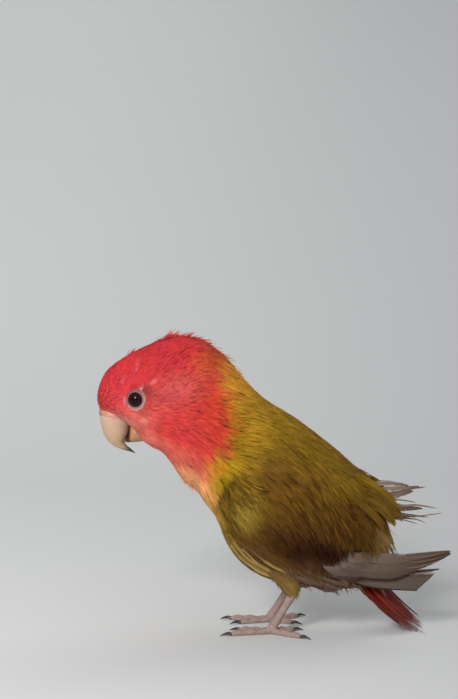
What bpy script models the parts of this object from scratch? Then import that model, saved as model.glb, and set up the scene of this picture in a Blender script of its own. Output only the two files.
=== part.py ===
"""A peach-faced lovebird, life size, standing on the floor with its head stretched forward.

Metres, +Z up. The bird faces -X and its left side faces -Y. The floor is Z = 0, and the origin
lies on it under the middle of the bird's box. Sizes below are in millimetres.
"""

import math
import random

import bmesh
import bpy
from mathutils import Matrix, Vector
from mathutils.bvhtree import BVHTree

MM = 0.001
GAP = 0.3 * MM  # air between neighbouring solids
VANE_THICK = 0.55 * MM

# Sections of the feathered body from the bill's root to the tail's root:
# top x, top z, bottom x, bottom z, half width, how far the sides sweep back
BODY_SECTIONS = [
    (-68.8, 88.4, -52.4, 76.8, 6.4, 3.2),
    (-70.0, 92.8, -50.4, 75.4, 9.4, 3.0),
    (-69.2, 98.4, -47.6, 73.6, 11.6, 2.4),
    (-66.0, 104.6, -44.8, 72.4, 13.0, 1.4),
    (-59.6, 109.6, -42.4, 70.4, 14.2, 0.6),
    (-51.6, 113.8, -40.4, 67.6, 15.2, 0.0),
    (-42.4, 117.4, -38.4, 64.4, 16.0, 0.0),
    (-33.2, 118.2, -36.2, 61.2, 16.8, 0.0),
    (-25.6, 115.6, -33.6, 58.6, 17.6, 0.0),
    (-17.8, 108.8, -30.2, 56.4, 18.5, 0.0),
    (-10.6, 100.0, -26.6, 51.6, 19.8, 0.0),
    (-1.8, 92.0, -23.4, 47.6, 20.6, 0.0),
    (9.0, 85.4, -20.6, 42.0, 21.2, 0.0),
    (19.8, 77.4, -17.0, 33.6, 21.2, 0.0),
    (29.6, 69.2, -10.2, 25.6, 20.4, 0.0),
    (37.0, 62.0, -0.2, 20.2, 18.6, 0.0),
    (42.2, 54.2, 11.0, 18.0, 15.8, 0.0),
    (45.2, 46.2, 20.6, 16.8, 12.6, 0.0),
    (47.6, 39.0, 28.6, 16.6, 9.6, 0.0),
]
LAST = len(BODY_SECTIONS) - 1
ROUND_POINTS = 28
STEPS_PER_SECTION = 2

# Where the thin cuts between head, neck and torso lie, as section numbers
HEAD_END = 8.0
NECK_END = 11.0

# The eye
EYE_AT = (-53.8, 94.6)
EYE_RADIUS = 4.3 * MM
EYE_PROUD = 0.7 * MM  # how far the cornea stands out of the head
LID_RADIUS = 3.75 * MM
LID_THICK = 0.6 * MM

# Sections of the bill, in the same order
UPPER_BILL = [
    (-65.6, 92.0, -55.2, 88.0, 5.2, 0.0),
    (-69.0, 88.8, -56.6, 84.4, 6.0, 0.0),
    (-68.9, 85.4, -57.0, 82.4, 6.0, 0.0),
    (-68.3, 81.8, -57.2, 80.6, 5.7, 0.0),
    (-67.2, 78.4, -57.6, 79.2, 5.1, 0.0),
    (-65.4, 75.8, -58.3, 77.8, 4.2, 0.0),
    (-62.8, 73.9, -59.1, 76.4, 3.1, 0.0),
    (-60.0, 72.7, -58.7, 74.9, 2.0, 0.0),
    (-57.2, 72.0, -57.0, 73.4, 1.1, 0.0),
    (-54.9, 71.2, -55.0, 71.6, 0.4, 0.0),
]
LOWER_BILL = [
    (-54.0, 85.2, -48.0, 77.6, 4.6, 0.0),
    (-57.0, 83.6, -51.2, 76.3, 5.2, 0.0),
    (-57.4, 80.4, -54.4, 75.8, 4.8, 0.0),
    (-58.1, 78.4, -57.0, 75.7, 3.9, 0.0),
    (-58.8, 77.0, -58.8, 75.9, 2.3, 0.0),
]
NOSTRIL_AT = (-68.3, 2.5, 87.0)
NOSTRIL_RADIUS = 0.6 * MM

# The folded wings, in section numbers along the body and degrees round it from the back's ridge
WING_START, WING_END = 10.8, 17.2
WING_LOW = 144.0  # degrees
WING_DEPTH = 3.2 * MM
WING_SKIN = 0.9 * MM
LEFT_DROOP, RIGHT_DROOP = 1.0, 0.62
# Heights of the wing's vanes over the body at their roots and tips, and their edges' step
VANE_ROOT, VANE_TIP, VANE_TILT = 0.2 * MM, 1.9 * MM, 0.42 * MM

# Legs and feet
LEG_SIDE = 9.5
KNEE = (2.5, 33.0)
ANKLE = (8.0, 15.6)
SOLE_AT = (-0.5, 1.5)
TARSUS_RADIUS = 1.6
# name, heading in degrees from straight ahead towards the outside, length
TOES = [
    ("inner_front", -16.0, 12.5),
    ("outer_front", 12.0, 16.0),
    ("outer_back", 148.0, 13.5),
    ("inner_back", -158.0, 9.5),
]
TOE_RADIUS = 1.35
TOE_PADS = (1.0, 1.08, 0.9, 1.04, 0.86, 0.96, 0.66)  # the toe's radius along it, as shares
PAD_FLAT = 0.25  # how much of each pad the floor flattens
CLAW_LENGTH = 4.8

# The tail: its root, the point its curve leans to, and the tip of its middle feathers
TAIL_ROOT = (30.0, 35.5)
TAIL_BEND = (43.0, 12.0)
TAIL_TIP = (61.0, 0.3)
TAIL_ROLL = (40.0, 9.0)  # degrees at its root and tip, near edge down
TAIL_FAN = 8.0  # degrees each way
TAIL_FEATHERS = 12


def spline(rows, s):
    """The rows' numbers at section number s, smoothly."""
    s = min(max(s, 0.0), len(rows) - 1.0)
    i = min(int(s), len(rows) - 2)
    t = s - i
    before, here = rows[max(i - 1, 0)], rows[i]
    after, beyond = rows[i + 1], rows[min(i + 2, len(rows) - 1)]
    return [
        0.5 * (2 * b + (c - a) * t + (2 * a - 5 * b + 4 * c - d) * t * t
               + (3 * b - a - 3 * c + d) * t ** 3)
        for a, b, c, d in zip(before, here, after, beyond)
    ]


def section_point(rows, s, angle, grow=0.0):
    """A point on the section at s, at an angle round it from its top towards the left."""
    top_x, top_z, bottom_x, bottom_z, half_width, sweep = (v * MM for v in spline(rows, s))
    top, bottom = Vector((top_x, 0, top_z)), Vector((bottom_x, 0, bottom_z))
    up = (top - bottom).normalized()
    half_height = (top - bottom).length / 2 + grow
    across = Vector((0, -1, 0)) * (half_width + grow)
    back = Vector((up.z, 0, -up.x)) * sweep
    return ((top + bottom) / 2 + up * half_height * math.cos(angle)
            + across * math.sin(angle) + back * math.sin(angle) ** 2)


def body_point(s, angle):
    return section_point(BODY_SECTIONS, s, angle)


def body_normal(s, angle):
    along = body_point(min(s + 0.05, LAST), angle) - body_point(max(s - 0.05, 0), angle)
    round_ = body_point(s, angle + 0.02) - body_point(s, angle - 0.02)
    return round_.cross(along).normalized()


def mesh_object(name, points, faces):
    mesh = bpy.data.meshes.new(name)
    mesh.from_pydata([tuple(p) for p in points], [], faces)
    mesh.validate()
    obj = bpy.data.objects.new(name, mesh)
    bird.objects.link(obj)
    tidy = bmesh.new()
    tidy.from_mesh(mesh)
    bmesh.ops.recalc_face_normals(tidy, faces=tidy.faces)
    tidy.to_mesh(mesh)
    tidy.free()
    return obj


def loft(name, rings):
    """A closed solid through rings of the same number of points."""
    count = len(rings[0])
    points = [p for ring in rings for p in ring]
    faces = [
        (i * count + j, i * count + (j + 1) % count,
         (i + 1) * count + (j + 1) % count, (i + 1) * count + j)
        for i in range(len(rings) - 1) for j in range(count)
    ]
    faces.append(tuple(reversed(range(count))))
    faces.append(tuple(range((len(rings) - 1) * count, len(rings) * count)))
    return mesh_object(name, points, faces)


def section_loft(name, rows, first, last, steps, around, grow=0.0):
    turn = math.tau / around
    rings = [
        [section_point(rows, first + (last - first) * i / steps, turn * j, grow)
         for j in range(around)]
        for i in range(steps + 1)
    ]
    return loft(name, rings)


def tube(name, path, radii, around):
    """A closed round limb along a path of points."""
    rings = []
    for i, point in enumerate(path):
        ahead = (path[min(i + 1, len(path) - 1)] - path[max(i - 1, 0)]).normalized()
        side = ahead.cross(Vector((0, 0, 1)))
        side = (side if side.length > 0.2 else ahead.cross(Vector((1, 0, 0)))).normalized()
        up = side.cross(ahead)
        rings.append([
            point + (side * math.cos(t) + up * math.sin(t)) * radii[i]
            for t in (math.tau * j / around for j in range(around))
        ])
    return loft(name, rings)


def ball(name, radius, centre, segments=16, rings=10):
    mesh = bpy.data.meshes.new(name)
    sphere = bmesh.new()
    bmesh.ops.create_uvsphere(sphere, u_segments=segments, v_segments=rings, radius=radius)
    sphere.to_mesh(mesh)
    sphere.free()
    obj = bpy.data.objects.new(name, mesh)
    bird.objects.link(obj)
    obj.location = centre
    bpy.context.view_layer.update()
    mesh.transform(obj.matrix_world)
    obj.matrix_world = Matrix.Identity(4)
    return obj


def apply_modifiers(obj):
    bpy.context.view_layer.update()
    graph = bpy.context.evaluated_depsgraph_get()
    made = bpy.data.meshes.new_from_object(obj.evaluated_get(graph))
    obj.modifiers.clear()
    obj.data = made


def combine(obj, others, operation, solver="MANIFOLD"):
    """Joins the others to obj, or cuts them from it, then removes them."""
    held = bpy.data.collections.new("held")
    bpy.context.scene.collection.children.link(held)
    for other in others:
        for home in list(other.users_collection):
            home.objects.unlink(other)
        held.objects.link(other)
    modifier = obj.modifiers.new(operation.lower(), "BOOLEAN")
    modifier.operation = operation
    modifier.solver = solver
    modifier.operand_type = "COLLECTION"
    modifier.collection = held
    apply_modifiers(obj)
    for other in others:
        bpy.data.objects.remove(other)
    bpy.data.collections.remove(held)
    keep_largest(obj)


def keep_largest(obj):
    """Keeps the largest closed surface of obj, which drops scraps and sealed hollows."""
    mesh = bmesh.new()
    mesh.from_mesh(obj.data)
    left, shells = set(mesh.faces), []
    while left:
        shell, edge = set(), [left.pop()]
        while edge:
            face = edge.pop()
            shell.add(face)
            near = {f for e in face.edges for f in e.link_faces} & left
            left -= near
            edge.extend(near)
        shells.append(shell)
    shells.sort(key=lambda faces: sum(f.calc_area() for f in faces))
    for shell in shells[:-1]:
        bmesh.ops.delete(mesh, geom=list(shell), context="FACES")
    mesh.to_mesh(obj.data)
    mesh.free()


def slice_off(obj, point, outward):
    """Cuts away what lies beyond the plane and closes the cut."""
    mesh = bmesh.new()
    mesh.from_mesh(obj.data)
    geometry = mesh.verts[:] + mesh.edges[:] + mesh.faces[:]
    bmesh.ops.bisect_plane(mesh, geom=geometry, dist=1e-7, plane_co=point, plane_no=outward,
                           clear_outer=True)
    open_edges = [e for e in mesh.edges if e.is_boundary]
    bmesh.ops.holes_fill(mesh, edges=open_edges, sides=0)
    bmesh.ops.triangulate(mesh, faces=[f for f in mesh.faces if len(f.verts) > 4])
    bmesh.ops.recalc_face_normals(mesh, faces=mesh.faces)
    mesh.to_mesh(obj.data)
    mesh.free()


def flatten_on_floor(obj):
    """Cuts away what lies below the floor, which leaves small flats there."""
    block = bmesh.new()
    bmesh.ops.create_cube(block, size=1.0)
    mesh = bpy.data.meshes.new("floor_block")
    block.to_mesh(mesh)
    block.free()
    mesh.transform(Matrix.LocRotScale(Vector((0, 0, -0.05)), None, Vector((0.3, 0.3, 0.1))))
    below = bpy.data.objects.new("floor_block", mesh)
    bird.objects.link(below)
    combine(obj, [below], "DIFFERENCE")


def copy_of(obj, name):
    made = bpy.data.objects.new(name, obj.data.copy())
    bird.objects.link(made)
    return made


def wing_top(s):
    return math.radians(12 + 83 * ((WING_END - s) / (WING_END - WING_START)) ** 2)


def wing_bottom(s, droop):
    if s < 12.2:
        return math.radians(WING_LOW - 20 * (12.2 - s) ** 2)
    return math.radians(WING_LOW - (10 + 40 * (1 - droop)) * ((s - 12.2) / 5) ** 1.5)


def wing_bulge(s, angle, droop):
    """How far the folded wing stands out from the body there."""
    if not WING_START < s < WING_END + 0.6:
        return 0.0
    low, high = wing_top(min(s, WING_END)), wing_bottom(s, droop)
    across = (angle - low) / (high - low)
    if not 0 < across < 1:
        return 0.0
    front = min(1.0, (s - WING_START) / 1.2) ** 0.5
    back = 1.0 - 0.55 * max(0.0, (s - 14.5) / 3.0)
    return WING_DEPTH * math.sin(math.pi * across) ** 0.7 * front * back


def dressed_surface():
    """The body with both folded wings standing out from it, to lay feathers on."""
    around, steps = 96, 4 * LAST
    points, faces = [], []
    for i in range(steps + 1):
        s = LAST * i / steps
        for j in range(around):
            angle = math.tau * j / around
            if angle < math.pi:
                out = wing_bulge(s, angle, LEFT_DROOP)
            else:
                out = wing_bulge(s, math.tau - angle, RIGHT_DROOP)
            points.append(body_point(s, angle) + body_normal(s, angle) * out)
    for i in range(steps):
        for j in range(around):
            k = (j + 1) % around
            faces.append((i * around + j, i * around + k,
                          (i + 1) * around + k, (i + 1) * around + j))
    return BVHTree.FromPolygons(points, faces)


# How the feathers lie: x, z, and degrees below straight back
LIE_POINTS = [
    (-64, 104, -38), (-48, 112, -22), (-30, 116, 18), (-12, 100, 42), (12, 82, 37), (34, 64, 40),
    (-50, 86, 6), (-38, 92, -8), (-30, 76, 18), (-38, 66, 42), (-20, 84, 20), (-8, 74, 30),
    (-24, 54, 55), (-14, 52, 52), (-16, 36, 58), (4, 68, 38), (12, 52, 52), (22, 44, 62),
    (4, 34, 48), (38, 52, 48), (46, 38, 50), (24, 24, 30), (6, 22, 30),
]


def lie(point, normal):
    """The way the feathers point there, along the surface."""
    total, heading = 0.0, Vector((0, 0, 0))
    for x, z, degrees in LIE_POINTS:
        away = (point.x / MM - x) ** 2 + (point.z / MM - z) ** 2 + 9.0
        weight = 1.0 / away ** 1.6
        angle = math.radians(degrees)
        heading += Vector((math.cos(angle), 0, -math.sin(angle))) * weight
        total += weight
    heading /= total
    return (heading - normal * heading.dot(normal)).normalized()


def outline_of_vane(t):
    """Half width of a feather at t along it, as a share of its greatest."""
    return (0.35 + 0.65 * math.sin(min(t / 0.62, 1.0) * math.pi / 2)) * (
        1.0 if t < 0.7 else math.sqrt(max(0.0, 1 - ((t - 0.7) / 0.335) ** 2)))


def vane(name, rows):
    """A feather through rows of three points and their normals: left edge, shaft, right edge.

    Its faces are split alike on both sides, so that a curved one never crosses itself.
    """
    points, faces = [], []
    for edges, shaft, normal, thick in rows:
        half = normal * thick / 2
        left, right = edges
        points += [left - half * 0.8, shaft - half, right - half * 0.8,
                   right + half * 0.8, shaft + half * 1.5, left + half * 0.8]
    for i in range(len(rows) - 1):
        a = i * 6
        for j, k in ((0, 1), (1, 2), (2, 3), (3, 4), (4, 5), (5, 0)):
            if j < 3:
                faces += [(a + j, a + k, a + 6 + k), (a + j, a + 6 + k, a + 6 + j)]
            else:
                faces += [(a + j, a + k, a + 6 + j), (a + k, a + 6 + k, a + 6 + j)]
    last = (len(rows) - 1) * 6
    faces += [(0, 4, 1), (0, 5, 4), (1, 4, 3), (1, 3, 2)]
    faces += [(last + 1, last + 4, last), (last + 4, last + 5, last),
              (last + 3, last + 4, last + 1), (last + 2, last + 3, last + 1)]
    return mesh_object(name, points, faces)


def laid_vane(name, root, length, width, low, high, turn=0.0, tilt=0.0, steps=3):
    """A feather laid on the dressed surface from a root near it, along the coat's lie."""
    spot, normal, _, _ = surface.find_nearest(root)
    rows = []
    for i in range(steps + 1):
        t = i / steps
        heading = Matrix.Rotation(turn, 3, normal) @ lie(spot, normal)
        across = heading.cross(normal)
        half = outline_of_vane(t) * width / 2
        height = low + (high - low) * min(1.0, t * 1.3)
        edges = []
        for way in (-1, 1):
            edge = spot + across * half * way
            near, near_normal, _, _ = surface.find_nearest(edge)
            if (near - edge).length > 1.2 * MM:
                near, near_normal = edge, normal
            edges.append(near + near_normal * (height + tilt * way))
        rows.append((edges, spot + normal * height, normal, VANE_THICK * (1 - 0.25 * t)))
        ahead = spot + heading * (length / steps)
        near, near_normal, _, _ = surface.find_nearest(ahead)
        if (near - ahead).length > 1.6 * MM:  # past the body's edge, so it runs on straight
            near, near_normal = ahead, normal
        spot, normal = near, near_normal
    return vane(name, rows)


def free_vane(name, line, normals, width, tilt=0.0, thick=VANE_THICK):
    """A feather that stands free along a line of points."""
    rows, count = [], len(line)
    for i, at in enumerate(line):
        ahead = (line[min(i + 1, count - 1)] - line[max(i - 1, 0)]).normalized()
        up = (normals[i] - ahead * normals[i].dot(ahead)).normalized()
        across = ahead.cross(up)
        t = i / (count - 1)
        half = outline_of_vane(t) * width / 2
        edges = [at + across * half * way + up * tilt * way for way in (-1, 1)]
        rows.append((edges, at, up, thick * (1 - 0.3 * t)))
    return vane(name, rows)


def bowed(root, tip, normal, bow, steps=5):
    return [root.lerp(tip, i / steps) + normal * bow * math.sin(math.pi * i / steps)
            for i in range(steps + 1)]


# name, root section and angle at the lower end, the same at the upper end, count, length, width
WING_TIERS = [
    ("lesser", (11.4, 114), (12.2, 66), 4, 12.5, 10.0),
    ("median", (12.1, 127), (13.5, 56), 5, 14.0, 10.0),
    ("greater", (13.0, 133), (14.7, 44), 6, 16.0, 10.0),
    ("secondary", (14.0, 133), (15.8, 34), 6, 18.0, 10.5),
    ("tertial", (15.6, 50), (16.5, 20), 3, 17.0, 8.5),
]
# Flight feathers: the root's section number and degrees, then the tip's x, y, z
LEFT_PRIMARIES = [
    ((16.9, 104), (57.6, -11.6, 30.3)),
    ((16.7, 111), (63.5, -12.2, 31.6)),
    ((16.5, 117), (68.9, -12.8, 33.7)),
    ((16.4, 122), (66.5, -13.4, 28.4)),
    ((16.2, 127), (65.7, -14.0, 25.6)),
    ((16.0, 131), (60.9, -14.6, 22.6)),
]
RIGHT_PRIMARIES = [
    ((15.2, 36), (62.6, 7.0, 56.0)),
    ((15.6, 47), (66.1, 8.0, 48.4)),
    ((15.9, 57), (69.1, 9.0, 45.7)),
    ((16.2, 67), (63.6, 10.0, 42.4)),
]
PRIMARY_WIDTH = {1: 8.0 * MM, -1: 5.4 * MM}


def wing_shell(name, side, droop):
    """The wing's body: a curved plate over the flank, sunk into it where the torso cuts it."""
    along, across = 12, 8
    outer, inner = [], []
    for i in range(along + 1):
        s = WING_START + 0.03 + (WING_END - WING_START - 0.03) * i / along
        low, high = wing_top(s), wing_bottom(s, droop)
        for j in range(across + 1):
            angle = low + (high - low) * j / across
            out = wing_bulge(s, min(max(angle, low + 1e-6), high - 1e-6), droop) + WING_SKIN
            turned = angle if side > 0 else math.tau - angle
            point, normal = body_point(s, turned), body_normal(s, turned)
            outer.append(point + normal * out)
            inner.append(point - normal * 1.2 * MM)
    width = across + 1
    count = len(outer)
    faces = []
    for i in range(along):
        for j in range(across):
            a, b = i * width + j, i * width + j + 1
            c, d = b + width, a + width
            faces += [(a, b, c, d), (count + d, count + c, count + b, count + a)]
    rim = [j for j in range(width)]
    rim += [i * width + across for i in range(1, along + 1)]
    rim += [along * width + j for j in range(across - 1, -1, -1)]
    rim += [i * width for i in range(along - 1, 0, -1)]
    for a, b in zip(rim, rim[1:] + rim[:1]):
        faces.append((b, a, count + a, count + b))
    return mesh_object(name, outer + inner, faces)


def wing(name, side, droop, primaries, roll):
    shell = wing_shell(name, side, droop)
    feathers = []
    for tier, (s_low, deg_low), (s_high, deg_high), count, length, width in WING_TIERS:
        for k in range(count):
            t = k / (count - 1)
            s = s_low + (s_high - s_low) * t
            degrees = deg_low + (deg_high - deg_low) * t
            limit = math.degrees(wing_bottom(s, droop)) - 6
            angle = math.radians(min(degrees, limit) if side > 0 else -min(degrees, limit))
            size = 1.0 + draw.uniform(-0.07, 0.07)
            feathers.append(laid_vane(
                f"{name}_{tier}_{k}", body_point(s, angle) + body_normal(s, angle) * 2 * MM,
                length * size * MM, width * MM, VANE_ROOT, VANE_TIP,
                turn=draw.uniform(-0.04, 0.04), tilt=-side * VANE_TILT))
    for k, ((s, degrees), tip) in enumerate(primaries):
        outward = Vector((0.05, -side * math.cos(roll), math.sin(roll))).normalized()
        angle = side * math.radians(degrees)
        root = body_point(s, angle) + body_normal(s, angle) * (0.9 + 0.15 * k) * MM
        line = bowed(root, Vector(tip) * MM, outward, 1.2 * MM)
        feathers.append(free_vane(f"{name}_primary_{k}", line, [outward] * len(line),
                                  PRIMARY_WIDTH[side], tilt=-side * 0.2 * MM))
    combine(shell, feathers, "UNION")
    return shell


def tail_frame(t):
    """The tail's middle line at t: a point, then the ways ahead, left and up there."""
    root, bend, tip = (Vector((x, 0, z)) * MM for x, z in (TAIL_ROOT, TAIL_BEND, TAIL_TIP))
    point = root * (1 - t) ** 2 + bend * 2 * t * (1 - t) + tip * t * t
    ahead = ((bend - root) * (1 - t) + (tip - bend) * t).normalized()
    roll = math.radians(TAIL_ROLL[0] + (TAIL_ROLL[1] - TAIL_ROLL[0]) * t)
    left = Matrix.Rotation(roll, 3, ahead) @ Vector((0, -1, 0))
    up = left.cross(ahead)
    return point, ahead, left, up


def tail_line(side, reach, spread, height, steps):
    """A line along the tail, out to its side by a fan, lifted by a height that fades."""
    line, normals = [], []
    for i in range(steps + 1):
        t = 0.06 + (reach - 0.06) * i / steps
        point, _, left, up = tail_frame(t)
        line.append(point + left * side * (3.4 * MM + spread * t) + up * height(t))
        normals.append(up)
    return line, normals


def tail(name):
    rings = []
    for t, half_width, half_height in ((0.0, 8.0, 6.6), (0.2, 7.4, 5.0), (0.4, 6.0, 2.9),
                                       (0.55, 4.0, 1.2)):
        point, _, left, up = tail_frame(t)
        rings.append([
            point + left * half_width * MM * math.cos(a) + up * half_height * MM * math.sin(a)
            for a in (math.tau * j / 16 for j in range(16))])
    base = loft(name, rings)
    feathers = []
    spread = (Vector(TAIL_TIP) - Vector(TAIL_ROOT)).length * MM * math.sin(math.radians(TAIL_FAN))
    middle = (TAIL_FEATHERS - 1) / 2
    for k in range(TAIL_FEATHERS):
        side = (k - middle) / middle
        below = 0.42 * MM * abs(k - middle + 0.3)  # each feather lies under its inner neighbour
        reach = 1.0 - 0.13 * abs(side) ** 1.5 + draw.uniform(-0.02, 0.0)
        line, normals = tail_line(side, reach, spread, lambda t: -below, 5)
        feathers.append(free_vane(f"{name}_feather_{k}", line, normals, 6.2 * MM,
                                  tilt=-0.3 * MM * (1 if side > 0 else -1)))
    for above, count, reach, lift in ((1, 5, 0.62, 4.6), (-1, 5, 0.66, 4.2)):
        for k in range(count):
            side = (k - (count - 1) / 2) / ((count - 1) / 2)
            rest = 1.1 - 0.3 * abs(k - (count - 1) / 2 + 0.3) if above > 0 else 2.6
            line, normals = tail_line(
                side * 1.2, reach - 0.06 * abs(side), 2.0 * MM,
                lambda t: above * MM * (lift * (1 - t) ** 1.6 * (1 - 0.3 * side ** 2) + rest), 4)
            feathers.append(free_vane(f"{name}_covert_{above}_{k}", line, normals, 7.2 * MM,
                                      tilt=-0.25 * MM * (1 if side > 0 else -1)))
    combine(base, feathers, "UNION")
    return base


def thigh(name, side, grow=0.0):
    """The feathered shank, from inside the belly down to the ankle."""
    rings = []
    for t, long, wide in ((0.0, 9.0, 6.6), (0.3, 8.0, 6.0), (0.55, 6.4, 5.0), (0.78, 4.4, 3.6),
                          (0.93, 2.9, 2.6), (1.0, 2.2, 2.1)):
        x, z = (KNEE[i] + (ANKLE[i] - KNEE[i]) * t for i in (0, 1))
        long, wide = long + grow, wide + grow
        rings.append([
            Vector((x + long * math.cos(a), -side * (LEG_SIDE - 0.6) + wide * math.sin(a), z)) * MM
            for a in (math.tau * j / 18 for j in range(18))])
    return loft(name, rings)


def toe_path(side, heading, length):
    """A toe's middle line on the floor, and the way it points."""
    angle = math.radians(heading) * side
    ahead = Vector((-math.cos(angle), -math.sin(angle), 0))
    start = Vector((SOLE_AT[0], -side * LEG_SIDE, 0))
    path = []
    for t, pad in zip((0.0, 0.14, 0.32, 0.5, 0.68, 0.84, 1.0), TOE_PADS):
        path.append((start + ahead * length * t) * MM
                    + Vector((0, 0, (TOE_RADIUS * pad - PAD_FLAT) * MM)))
    return path, ahead


def foot(name, side):
    """The scaly shank with two toes forward and two back, on small flat pads."""
    ankle = Vector((ANKLE[0], -side * (LEG_SIDE - 0.4), ANKLE[1])) * MM
    sole = Vector((SOLE_AT[0], -side * LEG_SIDE, SOLE_AT[1])) * MM
    down = (sole - ankle).normalized()
    path = [ankle, ankle.lerp(sole, 0.3), ankle.lerp(sole, 0.65), sole, sole + down * 0.4 * MM]
    radii = [TARSUS_RADIUS * k * MM for k in (1.2, 0.98, 1.0, 1.25, 0.7)]
    shank = tube(name, path, radii, 10)
    toes = []
    for toe, heading, length in TOES:
        path, _ = toe_path(side, heading, length)
        toes.append(tube(f"{name}_{toe}", path, [TOE_RADIUS * p * MM for p in TOE_PADS], 8))
    combine(shank, toes, "UNION")
    slice_off(shank, Vector((0, 0, ANKLE[1] * MM - GAP)), Vector((0, 0, 1)))
    flatten_on_floor(shank)
    return shank


def claw(name, side, heading, length):
    path, ahead = toe_path(side, heading, length)
    end = path[-1] + (path[-1] - path[-2]).normalized() * GAP
    line, radii = [], []
    for t in (0.0, 0.33, 0.67, 1.0):
        rise = 0.55 * math.sin(math.pi * min(t * 1.15, 1.0)) - 0.45 * t * t
        line.append(end + ahead * CLAW_LENGTH * t * MM + Vector((0, 0, rise * MM)))
        radii.append((0.72 - 0.62 * t ** 1.4) * MM)
    made = tube(name, line, radii, 6)
    slice_off(made, path[-1] + (path[-1] - path[-2]).normalized() * GAP,
              -(path[-1] - path[-2]).normalized())
    flatten_on_floor(made)
    return made


def eye_frame(side):
    """The eye's centre and the way it looks."""
    outside = surface.ray_cast(Vector((EYE_AT[0], -side * 60, EYE_AT[1])) * MM,
                               Vector((0, side, 0)))
    spot, normal = outside[0], outside[1]
    if normal.y * side > 0:
        normal = -normal
    return spot - normal * (EYE_RADIUS - EYE_PROUD), normal


def lid(name, centre, look):
    """The ring of bare skin round the eye."""
    points, faces = [], []
    around, turns = 16, 6
    side = look.cross(Vector((0, 0, 1))).normalized()
    up = side.cross(look)
    seat = centre + look * (EYE_RADIUS - EYE_PROUD - 0.55 * MM)
    for i in range(around):
        a = math.tau * i / around
        out = side * math.cos(a) + up * math.sin(a)
        for j in range(turns):
            b = math.tau * j / turns
            points.append(seat + out * (LID_RADIUS + LID_THICK * math.cos(b))
                          + look * LID_THICK * 1.1 * math.sin(b))
    for i in range(around):
        for j in range(turns):
            k, m = (i + 1) % around, (j + 1) % turns
            faces.append((i * turns + j, k * turns + j, k * turns + m, i * turns + m))
    return mesh_object(name, points, faces)


def finish(obj, colour, roughness=0.75):
    material = bpy.data.materials.new(obj.name)
    material.use_nodes = True
    shader = material.node_tree.nodes["Principled BSDF"]
    shader.inputs["Base Color"].default_value = (*colour, 1.0)
    shader.inputs["Roughness"].default_value = roughness
    obj.data.materials.clear()
    obj.data.materials.append(material)
    obj.data.shade_smooth()
    obj.data.set_sharp_from_angle(angle=math.radians(38))


RED, ORANGE, OLIVE = (0.62, 0.06, 0.06), (0.52, 0.22, 0.03), (0.26, 0.18, 0.02)
GREY, HORN, BLACK = (0.36, 0.32, 0.30), (0.62, 0.47, 0.36), (0.01, 0.007, 0.006)
TAIL_RED, FOOT_SKIN, CLAW_HORN = (0.30, 0.05, 0.02), (0.42, 0.33, 0.30), (0.10, 0.09, 0.08)


def body_nodes():
    """Head, neck and torso: one feathered form, parted by thin cuts along its sections."""
    whole = section_loft("torso", BODY_SECTIONS, 0, LAST, LAST * STEPS_PER_SECTION, ROUND_POINTS)
    parts = {"torso": whole, "neck": copy_of(whole, "neck"), "head": copy_of(whole, "head")}
    for s, front, back in ((HEAD_END, "head", ("neck", "torso")),
                           (NECK_END, "neck", ("torso",))):
        centre = (body_point(s, 0) + body_point(s, math.pi)) / 2
        rise = (body_point(s, 0) - body_point(s, math.pi)).normalized()
        ahead = Vector((0, 1, 0)).cross(rise).normalized()
        if ahead.x < 0:
            ahead = -ahead
        slice_off(parts[front], centre - ahead * GAP / 2, ahead)
        for name in back:
            slice_off(parts[name], centre + ahead * GAP / 2, -ahead)
    return parts


def bill_nodes(head):
    upper = section_loft("bill_upper", UPPER_BILL, 0, len(UPPER_BILL) - 1, 18, 14)
    lower = section_loft("bill_lower", LOWER_BILL, 0, len(LOWER_BILL) - 1, 8, 14)
    seat = section_loft("upper_seat", UPPER_BILL, 0, 4, 8, 14, GAP)
    combine(lower, [section_loft("mouth_line", UPPER_BILL, 0, len(UPPER_BILL) - 1, 18, 14, GAP)],
            "DIFFERENCE")
    lower_seat = section_loft("lower_seat", LOWER_BILL, 0, 3, 6, 14, GAP)
    combine(head, [seat, lower_seat], "DIFFERENCE")
    holes = [ball(f"nostril_{side}", NOSTRIL_RADIUS,
                  Vector((NOSTRIL_AT[0], side * NOSTRIL_AT[1], NOSTRIL_AT[2])) * MM, 8, 6)
             for side in (-1, 1)]
    combine(upper, holes, "DIFFERENCE")
    return upper, lower


for old in list(bpy.data.objects):
    bpy.data.objects.remove(old)
bird = bpy.data.collections.new("lovebird")
bpy.context.scene.collection.children.link(bird)
draw = random.Random(7)
surface = dressed_surface()

body = body_nodes()
eyes = []
for side, word in ((1, "left"), (-1, "right")):
    centre, look = eye_frame(side)
    combine(body["head"], [lid(f"lid_{word}", centre, look)], "UNION")
    combine(body["head"], [ball("socket", EYE_RADIUS + GAP, centre)], "DIFFERENCE")
    eyes.append(ball(f"eye_{word}", EYE_RADIUS, centre))
bill_upper, bill_lower = bill_nodes(body["head"])

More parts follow.
